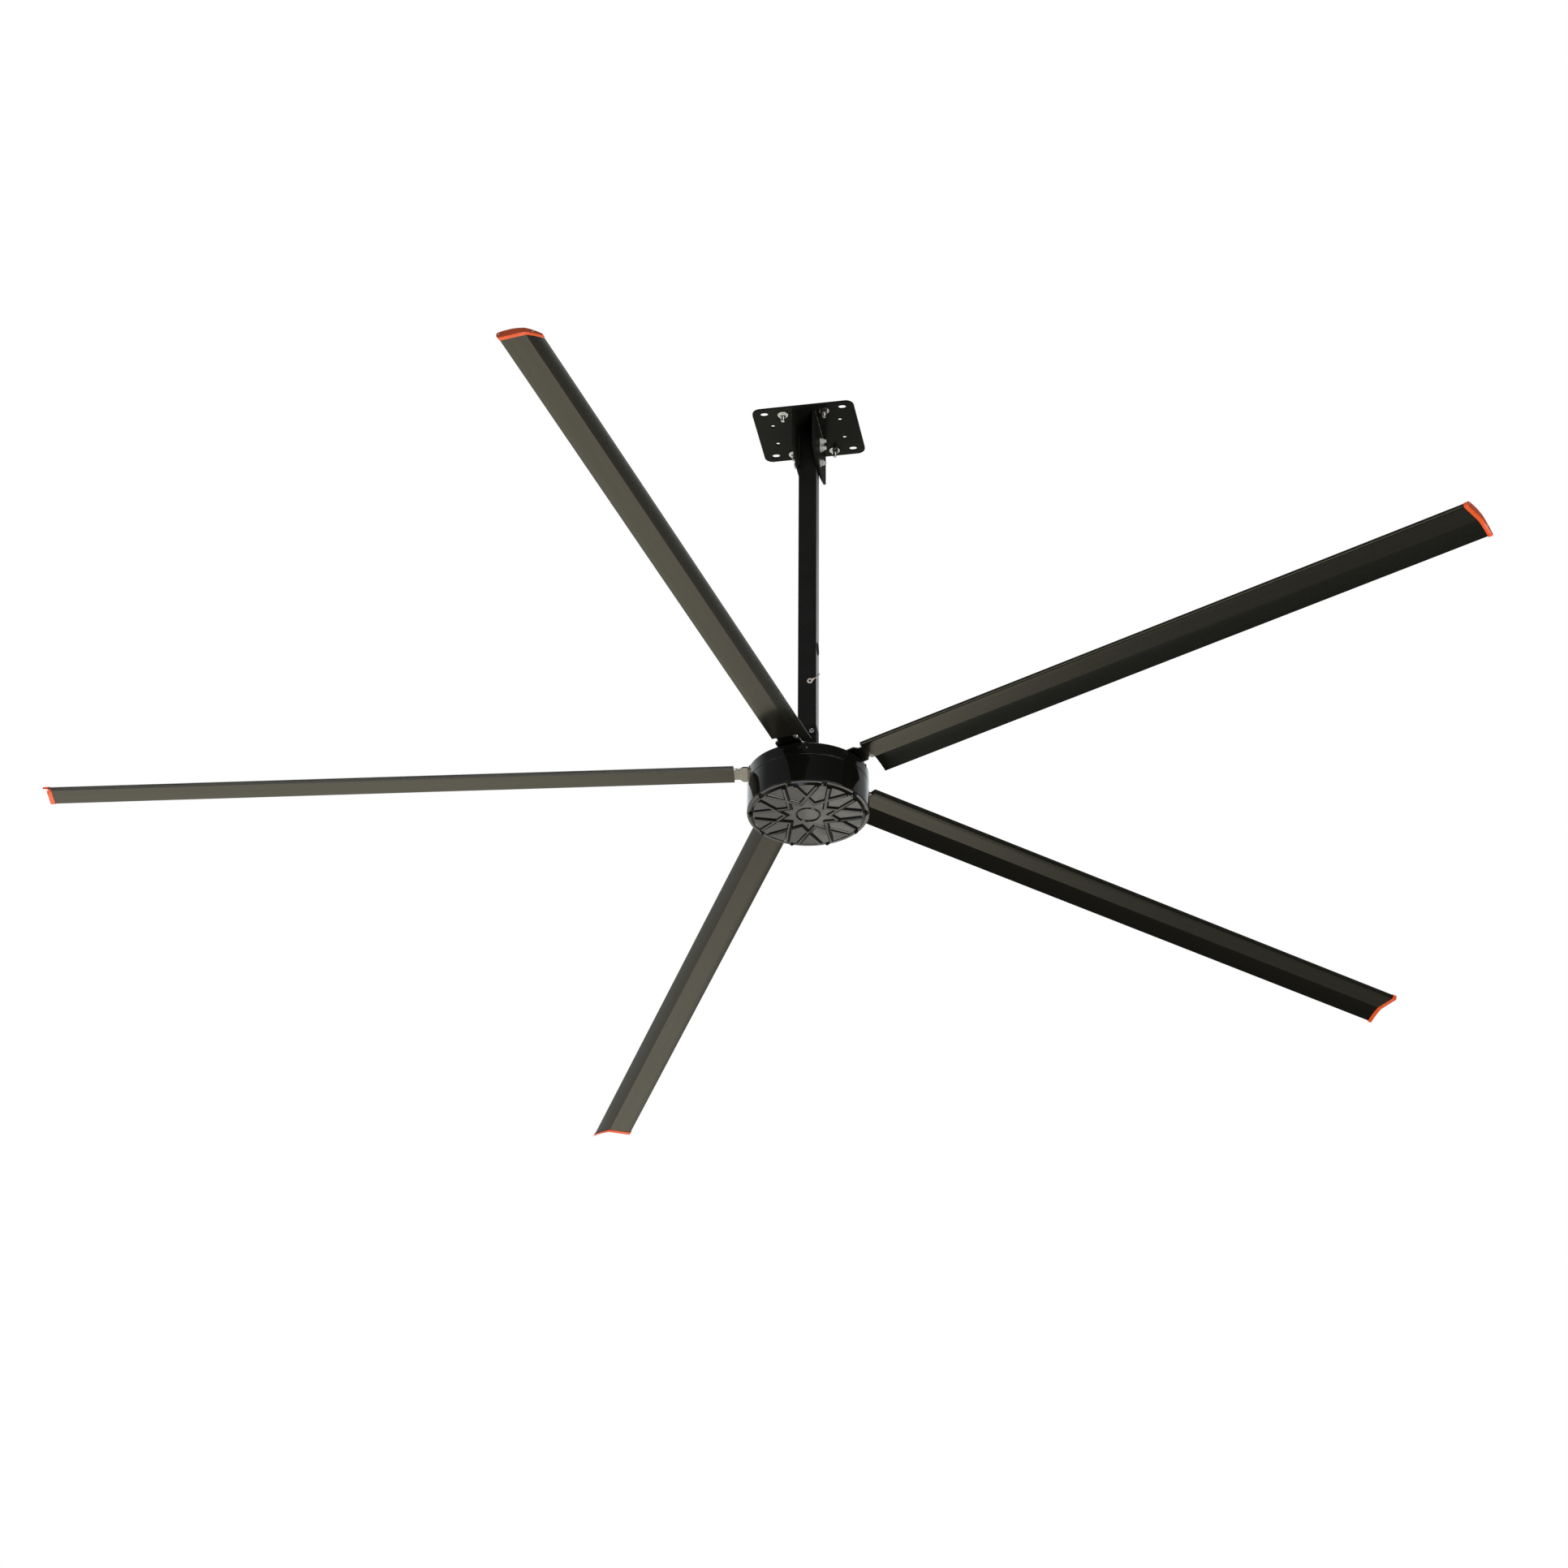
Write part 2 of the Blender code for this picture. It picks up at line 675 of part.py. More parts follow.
def make_terminal():
    face = tube_side / 2 + clearance
    spot = Vector((terminal_offset, -face, tube_seam + terminal_rise))
    half_tongue = terminal_tongue_width / 2
    neck = (terminal_radius ** 2 - half_tongue ** 2) ** 0.5
    outline = [(terminal_tongue_reach, -half_tongue), (terminal_tongue_reach, half_tongue)]
    for index in range(1, hole_sides):
        angle = 2 * pi * index / hole_sides
        x = terminal_radius * cos(angle)
        if x < neck:
            outline.append((x, terminal_radius * sin(angle)))
    rings = [[Vector((x, y, z)) for x, y in outline] for z in (0, terminal_thickness)]
    terminal = place(
        "ring_terminal", loft("ring_terminal", rings, hollow=False), "pale_brass",
        location=spot, rotation=(pi / 2, -radians(terminal_lean_degrees), 0),
    )
    barrel = rod(
        "terminal_barrel", terminal_barrel_radius,
        terminal_tongue_reach - terminal_barrel_length, terminal_tongue_reach,
    )
    along = Matrix.Translation((0, 0, terminal_barrel_radius)) @ Matrix.Rotation(pi / 2, 4, "Y")
    shape_with(terminal, gather("terminal_crimp", [(barrel, along)]), "UNION")
    hole = rod(
        "terminal_hole", terminal_screw_radius + clearance,
        -overrun, terminal_thickness + overrun,
    )
    shape_with(terminal, hole, "DIFFERENCE")
    head = terminal_head_radius
    profile = (
        (0, terminal_head_height), (head / 2, terminal_head_height),
        (head, terminal_head_height / 2), (head, 0), (terminal_screw_radius, 0),
        (terminal_screw_radius, -terminal_screw_length), (0, -terminal_screw_length),
    )
    screw = turned("terminal_screw", profile, fastener_sides)
    seat = spot - Vector((0, terminal_thickness + clearance, 0))
    place("terminal_screw", screw, "red_plated", location=seat, rotation=(pi / 2, 0, 0))


# A smooth curve through the route's points, with a few points on each stretch
def smooth_route(route, steps):
    points = [Vector(point) for point in route]
    ends = [points[0] * 2 - points[1]] + points + [points[-1] * 2 - points[-2]]
    path = []
    for index in range(1, len(points)):
        before, start, stop, after = ends[index - 1:index + 3]
        for step in range(steps):
            t = step / steps
            pull = (stop - before) * t + (2 * before - 5 * start + 4 * stop - after) * t ** 2
            pull += (3 * start - before - 3 * stop + after) * t ** 3
            path.append(start + pull / 2)
    path.append(points[-1])
    return path


def make_earth_lead():
    path = smooth_route(lead_route, lead_steps)
    curve = bpy.data.curves.new("earth_lead", "CURVE")
    curve.dimensions = "3D"
    curve.bevel_depth = lead_radius
    curve.bevel_resolution = 2
    curve.use_fill_caps = True
    spline = curve.splines.new("POLY")
    spline.points.add(len(path) - 1)
    for point, place_at in zip(spline.points, path):
        point.co = (*place_at, 1)
    curve.materials.append(bpy.data.materials["pale_sheath"])
    lead = bpy.data.objects.new("earth_lead", curve)
    bpy.context.scene.collection.objects.link(lead)


def make_stator_shaft():
    top = shaft_top - hub_top
    flange_bottom = top - shaft_flange_thickness
    collar_top = upper_bearing_bottom - clearance
    end_top = lower_bearing_top + clearance
    bottom = shaft_nut_bottom - embed
    profile = (
        (shaft_bore_radius, top), (shaft_flange_radius, top), (shaft_flange_radius, flange_bottom),
        (shaft_radius, flange_bottom), (shaft_radius, collar_top), (shaft_collar_radius, collar_top),
        (shaft_collar_radius, collar_top - shaft_collar_height),
        (shaft_radius, collar_top - shaft_collar_height),
        (shaft_radius, end_top), (shaft_end_radius, end_top), (shaft_end_radius, bottom),
        (shaft_bore_radius, bottom),
    )
    shaft = turned("stator_shaft", profile, shaft_sides)
    place("stator_shaft", shaft, "steel", location=(0, 0, hub_top))


def ring_profile(inner, outer, low, high):
    return ((inner, high), (outer, high), (outer, low), (inner, low))


def make_bearings(rotor):
    upper = ring_profile(
        shaft_radius + clearance, upper_bearing_radius, upper_bearing_bottom, upper_bearing_top,
    )
    lower = ring_profile(
        shaft_end_radius + clearance, lower_bearing_radius, lower_bearing_bottom, lower_bearing_top,
    )
    place("upper_bearing", turned("upper_bearing", upper, shaft_sides), "steel", rotor)
    place("lower_bearing", turned("lower_bearing", lower, shaft_sides), "steel", rotor)


def make_shaft_nut():
    profile = ring_profile(
        shaft_end_radius + clearance, shaft_nut_radius,
        shaft_nut_bottom, shaft_nut_bottom + shaft_nut_height,
    )
    nut = turned("shaft_nut", profile, shaft_sides)
    place("shaft_nut", nut, "zinc", location=(0, 0, hub_top))


# Stator: a carrier on the shaft, the toothed core on its rim, and the ends of
# the winding above and below the core
def make_stator():
    half = core_height / 2
    high = motor_middle + half
    low = motor_middle - half
    hub_inner = shaft_radius + clearance
    hub_outer = hub_inner + carrier_hub_wall
    rim_outer = core_inner_radius - clearance
    rim_inner = rim_outer - carrier_rim_wall
    web_high = motor_middle + carrier_web / 2
    web_low = motor_middle - carrier_web / 2
    profile = (
        (hub_inner, high), (hub_outer, high), (hub_outer, web_high), (rim_inner, web_high),
        (rim_inner, high), (rim_outer, high), (rim_outer, low), (rim_inner, low),
        (rim_inner, web_low), (hub_outer, web_low), (hub_outer, low), (hub_inner, low),
    )
    carrier = turned("stator_carrier", profile, 2 * tooth_count)
    place("stator_carrier", carrier, "steel", location=(0, 0, hub_top))
    slot_floor = core_outer_radius - tooth_depth
    toothed = []
    bore = []
    for tooth in range(tooth_count):
        middle = 2 * pi * tooth / tooth_count
        half_tooth = pi / tooth_count * tooth_share
        half_gap = pi / tooth_count * (1 - tooth_share)
        edges = (
            (middle - half_tooth, core_outer_radius), (middle + half_tooth, core_outer_radius),
            (middle + pi / tooth_count - half_gap, slot_floor),
            (middle + pi / tooth_count + half_gap, slot_floor),
        )
        for angle, radius in edges:
            toothed.append((radius * cos(angle), radius * sin(angle)))
    for index in range(4 * tooth_count):
        angle = 2 * pi * (index - 1) / (4 * tooth_count)
        bore.append((core_inner_radius * cos(angle), core_inner_radius * sin(angle)))
    rings = [
        [Vector((x, y, height)) for x, y in outline]
        for outline, height in ((toothed, high), (toothed, low), (bore, low), (bore, high))
    ]
    core = loft("stator_core", rings, hollow=True)
    place("stator_core", core, "black_steel", location=(0, 0, hub_top))
    inner = core_inner_radius + winding_inset
    outer = inner + winding_width
    base = half + clearance
    crest = base + winding_rise
    for name, side in (("winding_upper", 1), ("winding_lower", -1)):
        profile = (
            (inner, motor_middle + side * base), (outer, motor_middle + side * base),
            (outer, motor_middle + side * (crest - winding_round)),
            (outer - winding_round, motor_middle + side * crest),
            (inner + winding_round, motor_middle + side * crest),
            (inner, motor_middle + side * (crest - winding_round)),
        )
        place(name, turned(name, profile, shaft_sides), "copper", location=(0, 0, hub_top))


def make_magnet_ring(rotor):
    high = motor_middle + magnet_height / 2
    low = motor_middle - magnet_height / 2
    profile = ring_profile(magnet_inner_radius, magnet_outer_radius, low, high)
    place("magnet_ring", turned("magnet_ring", profile, hub_sides), "magnet_grey", rotor)


def make_top_cover(rotor):
    bearing_bore = upper_bearing_radius + clearance
    boss_outer = bearing_bore + bearing_boss_wall
    wall_inner = hub_radius - hub_wall
    boss_bottom = upper_bearing_bottom - clearance
    profile = [
        (shaft_opening_radius, 0), (seat_inner_radius, 0), (seat_inner_radius, seat_height),
        (seat_outer_radius, seat_height), (seat_outer_radius, 0),
    ]
    for step in range(top_edge_steps + 1):
        angle = pi / 2 * (1 - step / top_edge_steps)
        radius = hub_radius - top_edge_radius + top_edge_radius * cos(angle)
        profile.append((radius, top_edge_radius * (sin(angle) - 1)))
    profile += [
        (hub_radius, seam_chamfer - top_band_height), (hub_radius - seam_chamfer, -top_band_height),
        (wall_inner, -top_band_height), (wall_inner, -top_thickness), (boss_outer, -top_thickness),
        (boss_outer, boss_bottom), (bearing_bore, boss_bottom), (bearing_bore, -bearing_lip),
        (shaft_opening_radius, -bearing_lip),
    ]
    place("hub_top_cover", turned("hub_top_cover", profile, hub_sides), "black_coat", rotor)


def make_drum(rotor):
    wall_inner = hub_radius - hub_wall
    profile = (
        (wall_inner, drum_top), (hub_radius - seam_chamfer, drum_top),
        (hub_radius, drum_top - seam_chamfer), (hub_radius, drum_bottom + seam_chamfer),
        (hub_radius - seam_chamfer, drum_bottom), (wall_inner, drum_bottom),
    )
    place("hub_drum", turned("hub_drum", profile, hub_sides), "black_coat", rotor)


# A rib between two points, with sloping sides, standing down from the disc
def rib_bar(start, stop):
    along = (stop - start).normalized()
    across = Vector((-along.y, along.x, 0))
    rings = []
    for width, height in (
        (rib_root_width, cover_disc_face + embed), (rib_crest_width, cover_disc_face - rib_height),
    ):
        lift = Vector((0, 0, height))
        side = across * width / 2
        rings.append([start - side + lift, stop - side + lift, stop + side + lift, start + side + lift])
    return loft("rib_bar", rings, hollow=False)


def cover_lug():
    inner = cover_groove_inner_radius - cover_wall
    outline = [(inner, -lug_radius)]
    for step in range(lug_sides + 1):
        angle = pi * (step / lug_sides - 1 / 2)
        outline.append((lug_pitch_radius + lug_radius * cos(angle), lug_radius * sin(angle)))
    outline.append((inner, lug_radius))
    heights = (cover_flange_face + embed, cover_flange_face - lug_height)
    rings = [[Vector((x, y, height)) for x, y in outline] for height in heights]
    return loft("cover_lug", rings, hollow=False)


def make_bottom_cover(rotor):
    bearing_bore = lower_bearing_radius + clearance
    boss_outer = bearing_bore + bearing_boss_wall
    seat = lower_bearing_bottom - clearance
    groove_outer = cover_groove_inner_radius + cover_groove_width
    disc_edge = cover_groove_inner_radius
    groove_floor = cover_flange_face + cover_groove_depth
    inner_wall = disc_edge - cover_wall
    crest = cover_disc_face - rib_height
    profile = (
        (0, cover_inside), (shaft_opening_radius, cover_inside), (shaft_opening_radius, seat),
        (bearing_bore, seat), (bearing_bore, lower_bearing_top), (boss_outer, lower_bearing_top),
        (boss_outer, cover_inside), (inner_wall, cover_inside), (inner_wall, cover_top),
        (hub_radius - seam_chamfer, cover_top), (hub_radius, cover_top - seam_chamfer),
        (hub_radius, cover_flange_face + seam_chamfer), (hub_radius - seam_chamfer, cover_flange_face),
        (groove_outer, cover_flange_face), (groove_outer, groove_floor), (disc_edge, groove_floor),
        (disc_edge, cover_disc_face + seam_chamfer), (disc_edge - seam_chamfer, cover_disc_face),
        (cover_ring_outer_radius, cover_disc_face), (cover_ring_outer_radius - embed, crest),
        (cover_ring_inner_radius + embed, crest), (cover_ring_inner_radius, cover_disc_face),
        (0, cover_disc_face),
    )
    cover = place(
        "hub_bottom_cover", turned("hub_bottom_cover", profile, hub_sides), "black_coat", rotor,
    )
    pieces = []
    lug = cover_lug()
    for index in range(rib_count):
        angle = 2 * pi * index / rib_count
        pieces.append((lug, Matrix.Rotation(angle, 4, "Z")))
        vertex = Vector((cos(angle), sin(angle), 0)) * rib_vertex_radius
        for side in (-1, 1):
            end_angle = 2 * pi * (index + side) / rib_count
            end = Vector((cos(end_angle), sin(end_angle), 0)) * rib_end_radius
            pieces.append((rib_bar(vertex, end), Matrix()))
    shape_with(cover, gather("cover_ribs", pieces), "UNION")


# Height of the blade's underside above its flat, at a distance back from the nose
def blade_lower(back):
    if back < nose_round:
        return nose_lift * (1 - back / nose_round) ** 2
    along_flap = back - blade_front - blade_flat_end
    if along_flap <= 0:
        return 0
    curve = (flap_drop - flap_slope_share * flap_length) / flap_length ** 2
    return -(flap_slope_share * along_flap + curve * along_flap ** 2)


def blade_chord():
    return blade_front + blade_flat_end + flap_length


# Height of the upper surface, with the thickness read off the table of shares
def blade_upper(back):
    share = back / blade_chord()
    for (before, low), (after, high) in zip(thickness_shares, thickness_shares[1:]):
        if share <= after:
            break
    part = (share - before) / (after - before)
    thickness = blade_thickness * (low + (high - low) * part)
    return min(blade_lower(back), 0) + thickness


# Distances back from the nose at which the section has its points
def lower_stations():
    stations = [nose_round * step / nose_steps for step in range(nose_steps)]
    flat = blade_front + blade_flat_end - nose_round
    stations += [nose_round + flat * step / flat_steps for step in range(flat_steps)]
    stations += [
        blade_front + blade_flat_end + flap_length * step / flap_steps
        for step in range(flap_steps + 1)
    ]
    return stations


def upper_stations():
    return [share * blade_chord() for share, thickness in reversed(thickness_shares)]


# The section as points across and up, with the nose forward on the -Y side
def blade_outline():
    outline = [(back - blade_front, blade_lower(back)) for back in lower_stations()]
    outline += [(back - blade_front, blade_upper(back)) for back in upper_stations()]
    return outline


def hollow_outline():
    span = hollow_end_share * blade_chord() - blade_wall
    shrink = span / blade_chord()
    outline = []
    for back in lower_stations():
        inside = blade_wall + back * shrink
        outline.append((inside - blade_front, blade_lower(inside) + blade_wall))
    for back in upper_stations():
        inside = blade_wall + back * shrink
        outline.append((inside - blade_front, blade_upper(inside) - blade_wall))
    return outline


# The outline grown outwards by a distance, square to its edges
def grown(outline, distance):
    result = []
    count = len(outline)
    for index in range(count):
        point = Vector(outline[index])
        arriving = (point - Vector(outline[index - 1])).normalized()
        leaving = (Vector(outline[(index + 1) % count]) - point).normalized()
        first = Vector((arriving.y, -arriving.x))
        second = Vector((leaving.y, -leaving.x))
        shift = (first + second) / (1 + first.dot(second)) * distance
        result.append((point.x + shift.x, point.y + shift.y))
    return result


# A section's points at a distance along the blade, which falls towards its tip
def section_ring(outline, along):
    fall = blade_droop * along / blade_length
    return [Vector((along, across, up - fall)) for across, up in outline]


def make_blade_mesh():
    outer = blade_outline()
    inner = hollow_outline()
    rings = [
        section_ring(outer, 0), section_ring(outer, blade_length),
        section_ring(inner, blade_length), section_ring(inner, 0),
    ]
    return loft("blade", rings, hollow=True)


def make_cap_mesh():
    outline = blade_outline()
    pocket = grown(outline, clearance)
    shell = grown(outline, clearance + cap_wall)
    edge = grown(outline, clearance + cap_wall - cap_edge_round)
    mouth = blade_length - cap_lap
    floor = blade_length + clearance
    face = floor + cap_end_thickness
    rings = [
        section_ring(pocket, floor), section_ring(pocket, mouth), section_ring(shell, mouth),
        section_ring(shell, face - cap_edge_round), section_ring(edge, face),
    ]
    return loft("end_cap", rings, hollow=False)


# Plan of the iron: a wide flange on the hub, S-shaped shoulders and a neck
def iron_stations():
    stations = []
    for step in range(iron_corner_steps + 1):
        angle = pi / 2 * step / iron_corner_steps
        along = iron_inner_radius + iron_corner_radius * (1 - cos(angle))
        cut = iron_corner_radius * (1 - sin(angle))
        stations.append((along, iron_flange_front - cut, iron_flange_back - cut))
    for step in range(iron_shoulder_steps + 1):
        share = step / iron_shoulder_steps
        blend = share * share * (3 - 2 * share)
        along = iron_shoulder_start + (iron_shoulder_end - iron_shoulder_start) * share
        front = iron_flange_front + (iron_neck_front - iron_flange_front) * blend
        back = iron_flange_back + (iron_neck_back - iron_flange_back) * blend
        stations.append((along, front, back))
    stations.append((blade_root_radius, iron_neck_front, iron_neck_back))
    stations.append((blade_root_radius + iron_lap, iron_neck_front, iron_neck_back))
    return stations


def make_iron_mesh():
    rings = []
    for along, front, back in iron_stations():
        fall = blade_droop / blade_length * max(along - blade_root_radius, 0)
        low = -fall
        high = iron_thickness - fall
        rings.append([
            Vector((along, -front, low)), Vector((along, back, low)),
            Vector((along, back, high)), Vector((along, -front, high)),
        ])
    return loft("blade_iron", rings, hollow=False)


def make_blades(rotor):
    iron_mesh = make_iron_mesh()
    blade_mesh = make_blade_mesh()
    cap_mesh = make_cap_mesh()
    iron_level = seat_height + clearance
    blade_level = iron_level - clearance - blade_wall
    for index in range(blade_count):
        number = index + 1
        angle = 2 * pi * index / blade_count
        turn = (0, 0, angle)
        root = (blade_root_radius * cos(angle), blade_root_radius * sin(angle), blade_level)
        place(f"blade_iron_{number}", iron_mesh, "plated_iron", rotor, (0, 0, iron_level), turn)
        place(f"blade_{number}", blade_mesh, "bronze_anodised", rotor, root, turn)
        place(f"end_cap_{number}", cap_mesh, "orange_plastic", rotor, root, turn)


def make_rotor():
    rotor = bpy.data.objects.new("rotor", None)
    rotor.location = (0, 0, hub_top)
    rotor.rotation_euler = (0, 0, radians(first_blade_degrees))
    bpy.context.scene.collection.objects.link(rotor)
    make_top_cover(rotor)
    make_drum(rotor)
    make_bottom_cover(rotor)
    make_magnet_ring(rotor)
    make_bearings(rotor)
    make_blades(rotor)


def main():
    clear_scene()
    for name in finishes:
        make_finish(name)
    make_ceiling_plate()
    make_plate_fasteners()
    make_cheeks()
    make_cross_bolts()
    make_down_tube()
    make_yoke()
    make_grommets()
    make_terminal()
    make_earth_lead()
    make_stator_shaft()
    make_shaft_nut()
    make_stator()
    make_rotor()


main()
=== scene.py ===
from math import cos, pi, radians, sin, tan

import bmesh
import bpy
from mathutils import Matrix, Vector, noise


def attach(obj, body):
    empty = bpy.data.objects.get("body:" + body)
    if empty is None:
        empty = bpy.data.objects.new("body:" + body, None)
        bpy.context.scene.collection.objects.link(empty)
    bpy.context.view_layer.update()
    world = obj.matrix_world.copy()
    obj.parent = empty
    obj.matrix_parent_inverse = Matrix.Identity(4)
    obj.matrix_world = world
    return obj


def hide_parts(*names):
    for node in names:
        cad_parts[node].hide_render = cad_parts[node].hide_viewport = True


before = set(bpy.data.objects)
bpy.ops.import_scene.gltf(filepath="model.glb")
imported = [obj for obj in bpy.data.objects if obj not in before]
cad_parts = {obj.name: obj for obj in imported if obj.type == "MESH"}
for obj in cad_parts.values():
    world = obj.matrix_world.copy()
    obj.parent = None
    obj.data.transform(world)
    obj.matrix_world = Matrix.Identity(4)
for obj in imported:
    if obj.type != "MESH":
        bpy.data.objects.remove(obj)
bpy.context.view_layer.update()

# A large slow ceiling fan: fine pieces that stand for the CAD nodes, their
# finishes, and a white studio with the photo's camera.
# Metres, Z up, origin at the centre of the ceiling plate's top face.

scene = bpy.context.scene
gap = 0.0003  # between pieces that touch
overrun = 0.002  # how far a cutter runs past the face that it cuts
mergeDistance = 0.000002
hexLean = tan(radians(30))
hexSides = 48

# Sizes and heights that several pieces share
tubeSide = 0.076
tubeWall = 0.004
tubeLength = 1.520
yokeHeight = 0.204
shaftFlange = 0.012
hubRunningGap = 0.0045
plateBottom = -0.008
tubeTop = plateBottom - gap
tubeSeam = tubeTop - tubeLength
yokeTop = tubeSeam - gap
yokeBase = yokeTop - yokeHeight
shaftTop = yokeBase - gap
hubTop = shaftTop - shaftFlange - hubRunningGap


# A socket that takes part in plain sums: each operator adds its Math node
class Sock:
    def __init__(self, graph, socket):
        self.graph = graph
        self.socket = socket

    def maths(self, operation, first, second):
        return self.graph.node("ShaderNodeMath", {"operation": operation}, {0: first, 1: second})

    def __add__(self, other):
        return self.maths("ADD", self, other)

    def __radd__(self, other):
        return self.maths("ADD", other, self)

    def __sub__(self, other):
        return self.maths("SUBTRACT", self, other)

    def __rsub__(self, other):
        return self.maths("SUBTRACT", other, self)

    def __mul__(self, other):
        return self.maths("MULTIPLY", self, other)

    def __rmul__(self, other):
        return self.maths("MULTIPLY", other, self)


class Graph:
    def __init__(self, tree):
        self.tree = tree
        tree.nodes.clear()

    # Any node: its type, then its settings, then its sockets' values or links
    def node(self, kind, settings=None, values=None, out=0):
        made = self.tree.nodes.new(kind)
        for key, value in (settings or {}).items():
            setattr(made, key, value)
        for key, value in (values or {}).items():
            if isinstance(value, Sock):
                self.tree.links.new(value.socket, made.inputs[key])
            else:
                made.inputs[key].default_value = value
        return Sock(self, made.outputs[out]) if made.outputs else made

    # A mix of two colours, each given as numbers or as a socket
    def blend(self, share, low, high):
        ends = [end if isinstance(end, Sock) else (*end, 1) for end in (low, high)]
        return self.node("ShaderNodeMix", {"data_type": "RGBA"}, {0: share, 6: ends[0], 7: ends[1]}, out=2)

    # From 0 at start to 1 at stop, with soft ends
    def step(self, value, start, stop):
        settings = {"interpolation_type": "SMOOTHSTEP"}
        return self.node("ShaderNodeMapRange", settings, {0: value, 1: start, 2: stop})

    # Noise in the piece's own space, stretched by a scale on each axis
    def grain(self, scale, stretch=(1, 1, 1), detail=3.0):
        place = self.node("ShaderNodeTexCoord", out="Object")
        moved = self.node("ShaderNodeMapping", None, {"Vector": place, "Scale": stretch})
        values = {"Vector": moved, "Scale": scale, "Detail": detail}
        return self.node("ShaderNodeTexNoise", None, values)

    def bump(self, height, distance):
        return self.node("ShaderNodeBump", None, {"Height": height, "Distance": distance})

    def surface(self, values):
        shader = self.node("ShaderNodeBsdfPrincipled", None, values)
        self.node("ShaderNodeOutputMaterial", None, {"Surface": shader})


paints = {}


def paint(name):
    made = bpy.data.materials.new(name)
    made.use_nodes = True
    paints[name] = made
    return Graph(made.node_tree)


# A finish: two tones mixed by a grain, an uneven gloss and a fine relief. A sprayed coat has a
# specular level, and its gloss follows its tones
def grainPaint(name, dark, light, scale, roughness, span, fineScale, fineDepth, extra):
    graph = paint(name)
    sprayed = "specular" in extra
    stretch = extra.get("stretch", (1, 1, 1))
    mottle = graph.grain(scale, stretch)
    fine = graph.grain(fineScale, stretch, 1.0 if sprayed else 2.0)
    colour = graph.blend(mottle, dark, light)
    # Painted shade: past a point along X the colour turns to a darker one, for a face that gets less light
    if "face" in extra:
        place = graph.node("ShaderNodeTexCoord", out="Object")
        along = graph.node("ShaderNodeSeparateXYZ", None, {0: place})
        colour = graph.blend(graph.step(along, *extra["faceSpan"]), colour, extra["face"])
    graph.surface({
        "Base Color": colour, "Metallic": extra.get("metallic", 0.0),
        "Specular IOR Level": extra.get("specular", 0.5),
        "Roughness": roughness + (mottle if sprayed else fine) * span,
        "Normal": graph.bump(fine, fineDepth),
    })


# Bands along Z, for sheets in a stack or turns of wire
def bandedPaint(name, dark, light, scale, roughness, span, depth, extra):
    graph = paint(name)
    place = graph.node("ShaderNodeTexCoord", out="Object")
    settings = {"wave_type": extra["wave"], extra["wave"].lower() + "_direction": "Z"}
    values = {"Vector": place, "Scale": scale, "Distortion": extra["distortion"]}
    bands = graph.node("ShaderNodeTexWave", settings, values, out="Fac")
    graph.surface({
        "Base Color": graph.blend(bands, dark, light), "Metallic": extra["metallic"],
        "Roughness": roughness + bands * span, "Normal": graph.bump(bands, depth),
    })


